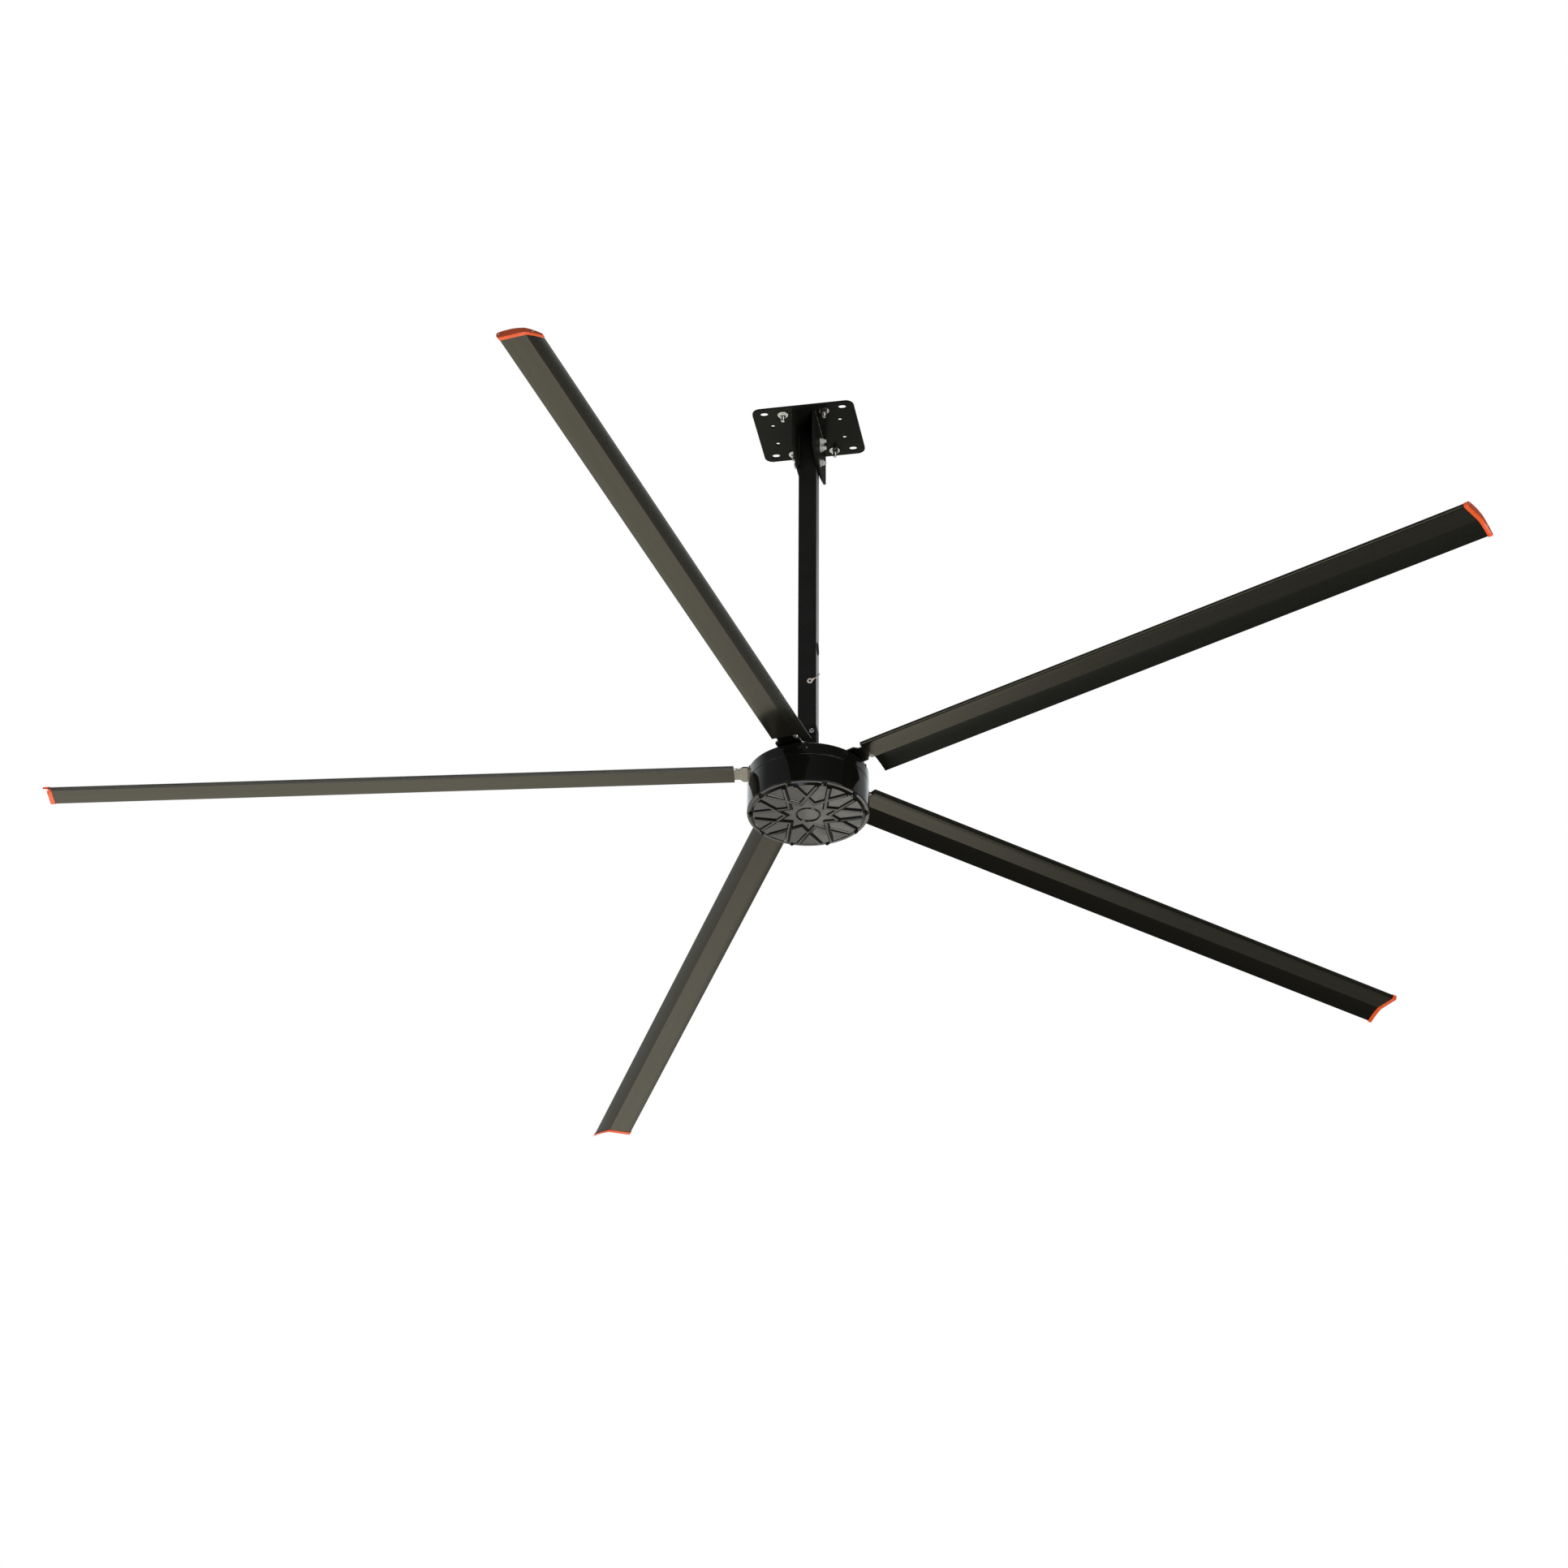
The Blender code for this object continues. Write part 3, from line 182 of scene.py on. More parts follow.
# Dark and light tone and the scale of their grain, roughness and its span, the relief's scale
# and depth, and what sets the finish apart
grainLooks = {
    "black_coat": (
        (0.0065, 0.0065, 0.006), (0.0115, 0.0115, 0.0105), 9.0, 0.22, 0.10, 420.0, 0.00004,
        {"specular": 0.22},
    ),
    "plate_coat": (
        (0.008, 0.0085, 0.007), (0.013, 0.0135, 0.011), 9.0, 0.16, 0.10, 420.0, 0.00004,
        {"specular": 0.07},
    ),
    "matte_coat": (
        (0.010, 0.010, 0.0085), (0.016, 0.016, 0.014), 9.0, 0.24, 0.10, 420.0, 0.00004,
        {"specular": 0.0015},
    ),
    "hub_black": (
        (0.0035, 0.0035, 0.003), (0.006, 0.006, 0.005), 6.0, 0.06, 0.08, 300.0, 0.00001,
        {"specular": 0.65},
    ),
    "weld_coat": (
        (0.010, 0.010, 0.008), (0.020, 0.020, 0.017), 60.0, 0.06, 0.08, 500.0, 0.0003,
        {"specular": 1.0},
    ),
    "cover_black": (
        (0.005, 0.005, 0.004), (0.009, 0.009, 0.0075), 6.0, 0.04, 0.06, 9.0, 0.0007,
        {"specular": 0.6},
    ),
    "blade_bronze": (
        (0.057, 0.0545, 0.041), (0.077, 0.074, 0.057), 30.0, 0.15, 0.08, 900.0, 0.00001,
        {"metallic": 0.85, "stretch": (0.02, 1, 1)},
    ),
    "orange_cap": (
        (0.88, 0.105, 0.018), (0.97, 0.135, 0.027), 12.0, 0.20, 0.10, 900.0, 0.00003,
        {"face": (0.42, 0.055, 0.010), "faceSpan": (2.7758, 2.7764)},  # the cap's end face, darker: painted shade, as that face gets less light
    ),
    "zinc": (
        (0.56, 0.56, 0.55), (0.80, 0.80, 0.79), 160.0, 0.10, 0.12, 900.0, 0.00003, {"metallic": 1.0},
    ),
    # A lighter, less metallic copy of zinc for the cross bolts and nuts: a painted highlight, for the bright
    # glints on them
    "zinc_painted_highlight": (
        (0.78, 0.78, 0.77), (0.92, 0.92, 0.91), 160.0, 0.22, 0.12, 900.0, 0.00003, {"metallic": 0.4},
    ),
    "iron_metal": (
        (0.21, 0.20, 0.17), (0.27, 0.26, 0.225), 24.0, 0.12, 0.12, 700.0, 0.00002,
        {"metallic": 1.0, "stretch": (0.1, 1, 1)},
    ),
    "steel": (
        (0.38, 0.38, 0.39), (0.52, 0.52, 0.53), 80.0, 0.24, 0.14, 300.0, 0.00002,
        {"metallic": 1.0, "stretch": (1, 1, 12)},
    ),
    "magnet_grey": (
        (0.16, 0.16, 0.17), (0.26, 0.26, 0.27), 60.0, 0.36, 0.18, 500.0, 0.00004, {"metallic": 0.8},
    ),
    "terminal_metal": (
        (0.82, 0.74, 0.64), (0.92, 0.86, 0.78), 200.0, 0.28, 0.16, 1500.0, 0.00003, {"metallic": 0.5},
    ),
    "screw_red": (
        (0.022, 0.006, 0.005), (0.055, 0.015, 0.011), 400.0, 0.40, 0.16, 1800.0, 0.00003,
        {"metallic": 0.3},
    ),
    "rubber_black": (
        (0.012, 0.012, 0.012), (0.022, 0.022, 0.021), 80.0, 0.55, 0.20, 1200.0, 0.00005, {},
    ),
    "lead_sheath": ((0.62, 0.54, 0.44), (0.74, 0.66, 0.56), 60.0, 0.42, 0.16, 900.0, 0.00003, {}),
}
# The same for bands, whose relief has no scale of its own
bandLooks = {
    "core_steel": (
        (0.03, 0.03, 0.03), (0.08, 0.08, 0.08), 320.0, 0.36, 0.10, 0.0002,
        {"wave": "BANDS", "distortion": 0.4, "metallic": 0.8},
    ),
    "copper_winding": (
        (0.50, 0.18, 0.08), (0.80, 0.38, 0.20), 160.0, 0.26, 0.10, 0.0005,
        {"wave": "RINGS", "distortion": 0.8, "metallic": 0.9},
    ),
}


def makePaints():
    for name, values in grainLooks.items():
        grainPaint(name, *values)
    for name, values in bandLooks.items():
        bandedPaint(name, *values)


# Smooth shading, with a crease at each edge sharper than an angle in degrees
def shaded(mesh, sharp):
    mesh.shade_smooth()
    mesh.set_sharp_from_angle(angle=radians(sharp))
    return mesh


def meshOf(name, model, sharp):
    mesh = bpy.data.meshes.new(name)
    model.to_mesh(mesh)
    model.free()
    return shaded(mesh, sharp)


def cleanMesh(name, model, sharp):
    bmesh.ops.remove_doubles(model, verts=model.verts[:], dist=mergeDistance)
    bmesh.ops.recalc_face_normals(model, faces=model.faces[:])
    return meshOf(name, model, sharp)


# Rings of points joined each to the next, hollow ones back to the first
def loft(name, rings, hollow=False, sharp=30):
    model = bmesh.new()
    loops = [[model.verts.new(point) for point in ring] for ring in rings]
    pairs = list(zip(loops, loops[1:]))
    if hollow:
        pairs.append((loops[-1], loops[0]))
    else:
        model.faces.new(loops[0])
        model.faces.new(loops[-1])
    for near, far in pairs:
        for index, point in enumerate(near):
            following = (index + 1) % len(near)
            model.faces.new((point, near[following], far[following], far[index]))
    return cleanMesh(name, model, sharp)


# A profile with each corner rounded by a small curve
def softened(profile, radius, steps=3):
    closed = profile[0][0] > 0
    result = []
    for index, point in enumerate(profile):
        here = Vector(point)
        if not closed and index in (0, len(profile) - 1):
            result.append(here)
            continue
        before = Vector(profile[index - 1]) - here
        after = Vector(profile[(index + 1) % len(profile)]) - here
        reach = min(radius, before.length * 0.45, after.length * 0.45)
        start = here + before.normalized() * reach
        stop = here + after.normalized() * reach
        for step in range(steps + 1):
            t = step / steps
            result.append(start * (1 - t) ** 2 + here * 2 * t * (1 - t) + stop * t ** 2)
    return result


# A point close to both ends of each long straight run, so that its shading stays flat
def guarded(points, reach):
    made = []
    for first, second in zip(points, points[1:]):
        made.append(first)
        run = (second - first).length
        if run > reach * 8:
            made.append(first.lerp(second, reach / run))
            if second.x > 0:
                made.append(second.lerp(first, reach / run))
    made.append(points[-1])
    return made


# A profile of radius and height turned about Z
def turned(name, profile, sides=64, edge=0.0005, sharp=30):
    points = guarded(softened(profile, edge), edge) if edge else [Vector(point) for point in profile]
    model = bmesh.new()
    made = [model.verts.new((point.x, 0, point.y)) for point in points]
    pairs = list(zip(made, made[1:]))
    if points[0].x > 0:
        pairs.append((made[-1], made[0]))
    edges = [model.edges.new(pair) for pair in pairs]
    bmesh.ops.spin(
        model, geom=made + edges, cent=(0, 0, 0), axis=(0, 0, 1),
        angle=2 * pi, steps=sides, use_merge=True,
    )
    return cleanMesh(name, model, sharp)


def ringProfile(inner, outer, low, high):
    return ((inner, high), (outer, high), (outer, low), (inner, low))


def rod(name, radius, low, high, sides=48, edge=0.0):
    return turned(name, ((0, high), (radius, high), (radius, low), (0, low)), sides, edge)


# Meshes in their places, as one
def joined(name, pieces, sharp=30):
    model = bmesh.new()
    for mesh, matrix in pieces:
        count = len(model.verts)
        model.from_mesh(mesh)
        model.verts.ensure_lookup_table()
        bmesh.ops.transform(model, matrix=matrix, verts=model.verts[count:])
    return meshOf(name, model, sharp)


# The mesh with a tool cut from it
def carved(mesh, tool, sharp=30):
    body = bpy.data.objects.new("carved", mesh)
    cutter = bpy.data.objects.new("cutter", tool)
    for item in (body, cutter):
        scene.collection.objects.link(item)
    change = body.modifiers.new("cut", "BOOLEAN")
    change.solver = "EXACT"
    change.object = cutter
    depsgraph = bpy.context.evaluated_depsgraph_get()
    result = bpy.data.meshes.new_from_object(body.evaluated_get(depsgraph), depsgraph=depsgraph)
    for item in (body, cutter):
        bpy.data.objects.remove(item, do_unlink=True)
    result.name = mesh.name
    return shaded(result, sharp)


def circle(radius, height, count=hexSides):
    angles = [2 * pi * index / count for index in range(count)]
    return [Vector((radius * cos(angle), radius * sin(angle), height)) for angle in angles]


# A hexagon whose height falls off towards its corners by a lean
def hexagon(acrossFlats, height, lean=0.0, count=hexSides):
    ring = []
    for index in range(count):
        angle = 2 * pi * index / count
        radius = acrossFlats / 2 / cos(angle % (pi / 3) - pi / 6)
        ring.append(Vector((
            radius * cos(angle), radius * sin(angle), height - lean * (radius - acrossFlats / 2),
        )))
    return ring


def roundedRectangle(length, width, corner, height, steps=8):
    ring = []
    for quarter in range(4):
        sideX = 1 if quarter in (0, 3) else -1
        sideY = 1 if quarter in (0, 1) else -1
        for step in range(steps + 1):
            angle = pi / 2 * (quarter + step / steps)
            ring.append(Vector((
                sideX * (length / 2 - corner) + corner * cos(angle),
                sideY * (width / 2 - corner) + corner * sin(angle), height,
            )))
    return ring


def square(side, height, corner):
    return roundedRectangle(side, side, corner, height)


def fourCorners(spacingX, spacingY):
    signs = ((-1, -1), (1, -1), (1, 1), (-1, 1))
    return [(sideX * spacingX / 2, sideY * spacingY / 2) for sideX, sideY in signs]


# Depth and taper are shares of the pitch, rows are for each pitch
threadLook = {"depth": 0.61, "taper": 0.6, "rows": 4, "sides": 24, "lap": 0.0002}


# A rod with a real helical thread between two heights, tapered at its ends
def threadedRod(name, radius, low, high, pitch):
    look = threadLook
    sides = look["sides"]
    rows = max(look["rows"], round((high - low) / pitch * look["rows"]))
    rings = []
    for row in range(rows + 1):
        height = low + (high - low) * row / rows
        fromEnd = min(height - low, high - height)
        ring = []
        for index in range(sides):
            angle = 2 * pi * index / sides
            phase = (height / pitch - index / sides) % 1
            depth = look["depth"] * pitch * abs(2 * phase - 1)
            reach = min(radius - depth, radius - look["taper"] * pitch + fromEnd)
            ring.append(Vector((reach * cos(angle), reach * sin(angle), height)))
        rings.append(ring)
    return loft(name, rings, sharp=70)


# The rings of a hexagon head or nut body, its lower face at a height
def hexagonBlock(acrossFlats, base, height):
    chamfer = acrossFlats * 0.02
    radius, top = acrossFlats / 2 - chamfer, base + height
    return [
        circle(radius, base), hexagon(acrossFlats, base + chamfer, -hexLean),
        hexagon(acrossFlats, top, hexLean), circle(radius, top),
    ]


# The rings of the washer face under a flanged head or nut
def collarRings(radius, base):
    if not base:
        return []
    soft = base * 0.25
    return [
        circle(radius - soft, 0), circle(radius, soft), circle(radius, base - soft),
        circle(radius - soft, base),
    ]


# A bolt with its seat at the origin, a dished head, a plain shank and a thread
def hexagonBolt(name, shape):
    collar, base = shape.get("collar", (0, 0))
    dish, top = shape["flats"] * 0.30, base + shape["head"]
    rings = [circle(shape["shank"] * 0.98, 0)] + collarRings(collar, base)
    rings += hexagonBlock(shape["flats"], base, shape["head"])
    rings += [circle(dish, top), circle(dish * 0.93, top - 0.0004)]
    split, lap = -shape["plain"], threadLook["lap"]
    parts = [
        loft(name, rings), rod(name + "_shank", shape["shank"], split, lap),
        threadedRod(name + "_thread", shape["shank"], -shape["length"], split + lap, shape["pitch"]),
    ]
    return joined(name, [(part, Matrix()) for part in parts])


def hexagonNut(name, shape):
    bore = shape["shank"] + gap
    countersink = 0.0008
    mouth = bore + countersink
    collar, base = shape.get("collar", (0, 0))
    top = base + shape["nutHeight"]
    rings = [circle(bore, countersink), circle(mouth, 0)] + collarRings(collar, base)
    rings += hexagonBlock(shape["flats"], base, shape["nutHeight"])
    rings += [circle(mouth, top), circle(bore, top - countersink)]
    return loft(name, rings, hollow=True)


# Catmull-Rom curve through points
def smoothPath(points, steps):
    points = [Vector(point) for point in points]
    ends = [points[0] * 2 - points[1]] + points + [points[-1] * 2 - points[-2]]
    path = []
    for index in range(1, len(points)):
        before, start, stop, after = ends[index - 1:index + 3]
        for step in range(steps):
            t = step / steps
            pull = (stop - before) * t + (2 * before - 5 * start + 4 * stop - after) * t ** 2
            pull += (3 * start - before - 3 * stop + after) * t ** 3
            path.append(start + pull / 2)
    path.append(points[-1])
    return path


askew = Vector((0.31, 0.17, 0.94))  # parallel to no path here


# A tube swept along a path, its radius given by a function of the distance
def swept(name, path, radiusAt, sides=16, sharp=40):
    rings = []
    distance = 0
    for index, point in enumerate(path):
        along = (path[min(index + 1, len(path) - 1)] - path[max(index - 1, 0)]).normalized()
        if index:
            distance += (point - path[index - 1]).length
        side = along.cross(askew).normalized()
        other = along.cross(side)
        radius = radiusAt(distance)
        rings.append([
            point + (side * cos(2 * pi * turn / sides) + other * sin(2 * pi * turn / sides)) * radius
            for turn in range(sides)
        ])
    return loft(name, rings, sharp=sharp)


beadLook = {
    "pitch": 0.0032, "valley": 0.74, "ripple": 0.26, "wander": 0.18,
    "noiseAlong": 260, "noiseAcross": 900, "sides": 12,
}


# A straight weld bead, with its ripples and an uneven width
def weldBead(name, start, stop, radius):
    look = beadLook
    start, stop = Vector(start), Vector(stop)
    count = max(2, round((stop - start).length / (look["pitch"] / 4)))
    points = [start.lerp(stop, step / count) for step in range(count)]
    points.append(stop)

    def radiusAt(distance):
        ripple = abs(sin(pi * distance / look["pitch"]))
        wander = noise.noise(Vector((distance * look["noiseAlong"], radius * look["noiseAcross"], 0)))
        return radius * (look["valley"] + look["ripple"] * ripple + look["wander"] * wander)

    return swept(name, points, radiusAt, look["sides"], sharp=60)


def addPiece(name, data, slot, body, place=None, finish=None, nodes=()):
    piece = bpy.data.objects.new(name, data)
    data.materials.clear()
    data.materials.append(paints[finish or slot])
    scene.collection.objects.link(piece)
    if place:
        piece.matrix_world = place
    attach(piece, body)
    if nodes:
        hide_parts(*nodes)
    return piece


# The fine piece that stands for a CAD node
def addFine(node, data, slot, body, place=None, finish=None):
    return addPiece(node + "_fine", data, slot, body, place, finish, (node,))


def bevel(piece, width, segments=3):
    change = piece.modifiers.new("edges", "BEVEL")
    change.width = width
    change.segments = segments
    change.limit_method = "ANGLE"
    change.angle_limit = radians(35)
    change.harden_normals = True


def turn(axis, degrees):
    return Matrix.Rotation(radians(degrees), 4, axis)


def move(x, y, z):
    return Matrix.Translation((x, y, z))


plateLook = {
    "length": 0.435, "width": 0.365, "corner": 0.035, "slots": (0.334, 0.292),
    "slotSize": (0.034, 0.026), "sideHoles": (0.288, 0.124), "sideRadius": 0.009, "edge": 0.0009,
}


def makePlate():
    look = plateLook
    size = look["length"], look["width"], look["corner"]
    plate = loft("ceiling_plate", [roundedRectangle(*size, height, steps=14) for height in (plateBottom, 0)])
    low, high = plateBottom - overrun, overrun
    size = (*look["slotSize"], look["slotSize"][1] / 2)
    slot = loft("slot", [roundedRectangle(*size, height, steps=10) for height in (low, high)])
    tools = [(slot, move(x, y, 0)) for x, y in fourCorners(*look["slots"])]
    hole = rod("hole", look["sideRadius"], low, high)
    tools += [(hole, move(x, y, 0)) for x, y in fourCorners(*look["sideHoles"])]
    head, shank = boltLook["sunkHead"] + gap, boltLook["shank"] + gap
    sunk = turned("sunk", (
        (0, high), (head, high), (head, 0), (shank, shank - head), (shank, low), (0, low),
    ), 48, 0)
    tools += [(sunk, move(x, y, 0)) for x, y in fourCorners(*boltLook["spacing"])]
    plate = carved(plate, joined("plate_tools", tools))
    bevel(addFine("ceiling_plate", plate, "black_coat", "frame", finish="plate_coat"), look["edge"])


boltLook = {
    "spacing": (0.176, 0.280), "sunkHead": 0.0145, "shank": 0.008, "pitch": 0.002, "flats": 0.024,
    "nutHeight": 0.013, "washer": 0.0225, "washerThickness": 0.004, "end": 0.020,
    "dish": (0.45, 0.50), "dishDepth": 0.0006, "plainBelow": 0.002,
}


def makePlateFasteners():
    look = boltLook
    washerTop = plateBottom - gap
    nutTop = washerTop - look["washerThickness"] - gap
    bottom = nutTop - look["nutHeight"] - look["end"]
    head, shank = look["sunkHead"], look["shank"]
    dishIn, dishOut = look["dish"]
    split = plateBottom - look["plainBelow"]
    top = turned("plate_bolt_head", (
        (0, -look["dishDepth"]), (head * dishIn, -look["dishDepth"]), (head * dishOut, 0), (head, 0),
        (shank, shank - head), (shank, split), (0, split),
    ), 48, 0.0003)
    thread = threadedRod("plate_bolt_thread", shank, bottom, split + threadLook["lap"], look["pitch"])
    bolt = joined("plate_bolt", [(top, Matrix()), (thread, Matrix())])
    washer = turned("plate_washer", ringProfile(
        shank + gap, look["washer"], -look["washerThickness"], 0,
    ), 64, 0.0006)
    nut = hexagonNut("plate_nut", look)
    for number, (x, y) in enumerate(fourCorners(*look["spacing"]), start=1):
        addFine(f"plate_bolt_{number}", bolt, "zinc", "frame", move(x, y, 0))
        addFine(f"plate_washer_{number}", washer, "zinc", "frame", move(x, y, washerTop))
        spot = move(x, y, nutTop) @ turn("X", 180) @ turn("Z", 7 + 19 * number)
        addFine(f"plate_nut_{number}", nut, "zinc", "frame", spot)


cheekLook = {
    "thickness": 0.010, "width": 0.300, "sideHeight": 0.175, "height": 0.212, "foot": 0.100,
    "edge": 0.0012, "corner": 0.006, "drops": (0.056, 0.093, 0.171),
    "weld": 0.0042, "weldOut": 0.0012, "weldIn": 0.0010, "weldEnd": 0.006, "weldFromTube": 0.004,
    "tubeWeldIn": 0.0012, "tubeWeldOut": 0.0002, "tubeWeldDrops": (0.012, 0.198),
}


def crossHeights():
    return [plateBottom - drop for drop in cheekLook["drops"]]


def makeCheeks():
    look = cheekLook
    top = plateBottom - gap
    half = look["thickness"] / 2
    corners = [
        (look["width"] / 2, 0), (look["width"] / 2, -look["sideHeight"]),
        (look["foot"] / 2, -look["height"]), (-look["foot"] / 2, -look["height"]),
        (-look["width"] / 2, -look["sideHeight"]), (-look["width"] / 2, 0),
    ]
    # Moved off the axis by 1 m for the rounding, which takes a profile that starts on it as open
    outline = softened([(y + 1, z) for y, z in corners], look["corner"], steps=6)
    rings = [[Vector((x, point.x - 1, point.y)) for point in outline] for x in (-half, half)]
    hole = rod("hole", boltLook["shank"] + gap, -half - overrun, half + overrun)
    tools = joined("cheek_tools", [
        (hole, move(0, 0, height - top) @ turn("Y", 90)) for height in crossHeights()
    ])
    cheek = carved(loft("cheek", rings), tools)
    weldOut, weldIn = look["weldOut"], look["weldIn"]
    reach = look["width"] / 2 - look["weldEnd"]
    start, stop = (top - drop for drop in look["tubeWeldDrops"])
    for name, side in (("cheek_left", -1), ("cheek_right", 1)):
        middle = side * (tubeSide / 2 + gap + half)
        place = move(middle, 0, top)
        bevel(addFine(name, cheek, "black_coat", "frame", place, "matte_coat"), look["edge"])
        outer = middle + side * (half + weldOut)
        inner = middle - side * (half + weldIn)
        beads = {"weld_outer": weldBead(
            "cheek_weld", (outer, -reach, top - weldOut), (outer, reach, top - weldOut), look["weld"],
        )}
        for end, sign in (("front", -1), ("back", 1)):
            beads[f"weld_{end}"] = weldBead(
                "cheek_weld", (inner, sign * (tubeSide / 2 + look["weldFromTube"]), top - weldIn),
                (inner, sign * reach, top - weldIn), look["weld"] * 0.85,
            )
            x = side * (tubeSide / 2 - look["tubeWeldIn"])
            y = sign * (tubeSide / 2 + look["tubeWeldOut"])
            beads[f"tube_weld_{end}"] = weldBead(
                "tube_weld", (x, y, start), (x, y, stop), look["weld"] * 0.8,
            )
        for ending, bead in beads.items():
            addPiece(f"{name}_{ending}", bead, "black_coat", "frame", finish="weld_coat")


# What differs from the plate's bolts
crossLook = {"collar": (0.0165, 0.003), "head": 0.010, "end": 0.010, "plain": 0.080}


def makeCrossBolts():
    look = {**boltLook, **crossLook}
    start = tubeSide / 2 + gap + cheekLook["thickness"] + gap
    length = 2 * start + look["collar"][1] + look["nutHeight"] + look["end"]
    bolt = hexagonBolt("cross_bolt", {**look, "length": length})
    nut = hexagonNut("cross_nut", look)
    for number, height in enumerate(crossHeights(), start=1):
        left = move(-start, 0, height) @ turn("Y", -90) @ turn("Z", 13 * number)
        right = move(start, 0, height) @ turn("Y", 90) @ turn("Z", 21 * number)
        # Their zinc is a lighter copy of the plate bolts' zinc: painted highlight
        addFine(f"cross_bolt_{number}", bolt, "zinc", "frame", left, "zinc_painted_highlight")
        addFine(f"cross_nut_{number}", nut, "zinc", "frame", right, "zinc_painted_highlight")


tubeLook = {
    "corner": 0.005, "stub": (-0.140, 0.080), "edge": 0.0006,
    "cableRise": 0.395, "cableBore": 0.022, "cableWall": 0.0025,
    "lip": 0.003, "lipThickness": 0.0018, "leadRise": 0.3453, "leadWall": 0.0022, "leadLip": 0.0018,
}
yokeLook = {
    "baseSide": 0.150, "baseThickness": 0.012, "baseCorner": 0.015, "bore": 0.024, "boreSides": 36,
    "boltDrop": 0.035, "boltSpacing": 0.044, "shank": 0.006, "flats": 0.019, "head": 0.0075,
    "nutHeight": 0.010, "boltEnd": 0.005, "plain": 0.060, "pitch": 0.00175, "edge": 0.0007,
    "weld": 0.0038, "weldOut": 0.0012, "weldEnd": 0.002,
}
terminalLook = {
    "rise": 0.2135, "offset": 0.013, "radius": 0.012, "thickness": 0.0015, "reach": 0.018,
    "tongue": 0.008, "barrel": 0.003, "barrelLength": 0.007, "lean": 25, "screw": 0.003,
    "head": 0.0053, "headHeight": 0.003, "screwLength": 0.012, "screwTurn": 31,
    "crimp": 0.18, "edge": 0.0002, "ringSides": 64, "barrelSteps": 14,
}
leadRadius = 0.002


def yokeBoltTools(top):
    reach = tubeSide / 2 + overrun
    hole = rod("hole", yokeLook["shank"] + gap, -reach, reach)
    return [
        (hole, move(side * yokeLook["boltSpacing"] / 2, 0, top - yokeLook["boltDrop"]) @ turn("X", 90))
        for side in (-1, 1)
    ]


def makeTube():
    look = tubeLook
    inner = tubeSide - 2 * tubeWall
    innerCorner = look["corner"] - tubeWall
    stub = inner - 2 * gap
    stubBore = stub - 2 * tubeWall
    below, above = look["stub"]
    rings = [square(side, height, look["corner"]) for side, height in ((tubeSide, tubeLength), (tubeSide, 0))]
    rings += [square(side, height, innerCorner) for side, height in (
        (stub, 0), (stub, below), (stubBore, below), (stubBore, above), (inner, above), (inner, tubeLength),
    )]
    start = tubeSide / 2 - tubeWall - overrun
    end = tubeSide / 2 + overrun
    cross = rod("hole", boltLook["shank"] + gap, -end, end)
    tools = [(cross, move(0, 0, height - tubeSeam) @ turn("Y", 90)) for height in crossHeights()]
    cable = rod("hole", look["cableBore"] + look["cableWall"] + gap, start, end, 64)
    tools.append((cable, move(0, 0, look["cableRise"]) @ turn("Y", 90)))
    screw = rod("hole", terminalLook["screw"] + gap, start, end)
    tools.append((screw, move(terminalLook["offset"], 0, terminalLook["rise"]) @ turn("X", 90)))
    lead = rod("hole", leadRadius + look["leadWall"] + 2 * gap, start, end)
    tools.append((lead, move(0, 0, look["leadRise"]) @ turn("X", -90)))
    tools += yokeBoltTools(0)
    mesh = carved(loft("down_tube", rings, hollow=True), joined("tube_tools", tools))
    bevel(addFine("down_tube", mesh, "black_coat", "frame", move(0, 0, tubeSeam)), look["edge"])


# A grommet in the tube's wall, whose outer face is at the origin
def addGrommet(node, bore, wall, lip, place):
    neck = bore + wall
    rim = neck + lip
    outside = gap + tubeLook["lipThickness"]
    inside = -tubeWall - gap
    end = inside - tubeLook["lipThickness"]
    profile = (
        (bore, outside), (rim, outside), (rim, gap), (neck, gap), (neck, inside), (rim, inside),
        (rim, end), (bore, end),
    )
    addFine(node, turned(node, profile, 64, 0.0008), "rubber_black", "frame", place)


def makeGrommets():
    look = tubeLook
    face = tubeSide / 2
    side = move(face, 0, tubeSeam + look["cableRise"]) @ turn("Y", 90)
    back = move(0, face, tubeSeam + look["leadRise"]) @ turn("X", -90)
    addGrommet("cable_grommet", look["cableBore"], look["cableWall"], look["lip"], side)
    addGrommet("lead_grommet", leadRadius + gap, look["leadWall"], look["leadLip"], back)


# Shares of a screw head's radius and height
crossShares = {
    "crown": ((0, 1), (0.55, 1), (0.9, 0.6), (1, 0.2), (1, 0)), "edge": 0.18,
    "bar": (0.90, 0.20), "floor": 0.45,
}


# A pan head screw with a cross recess, its seat at the origin
def crossHead(name, head, height, shank, length, recess=True):
    look = crossShares
    profile = [(head * out, height * up) for out, up in look["crown"]]
    profile += [(shank, 0), (shank, -length), (0, -length)]
    mesh = turned(name, profile, 40, head * look["edge"])
    if not recess:
        return mesh
    for angle in (0, 90):
        rings = [
            [Vector((x * head, y * head, z)) for x, y in fourCorners(*look["bar"])]
            for z in (height * look["floor"], height + overrun / 2)
        ]
        mesh = carved(mesh, joined("bar_tool", [(loft("bar", rings), turn("Z", angle))]))
    return mesh


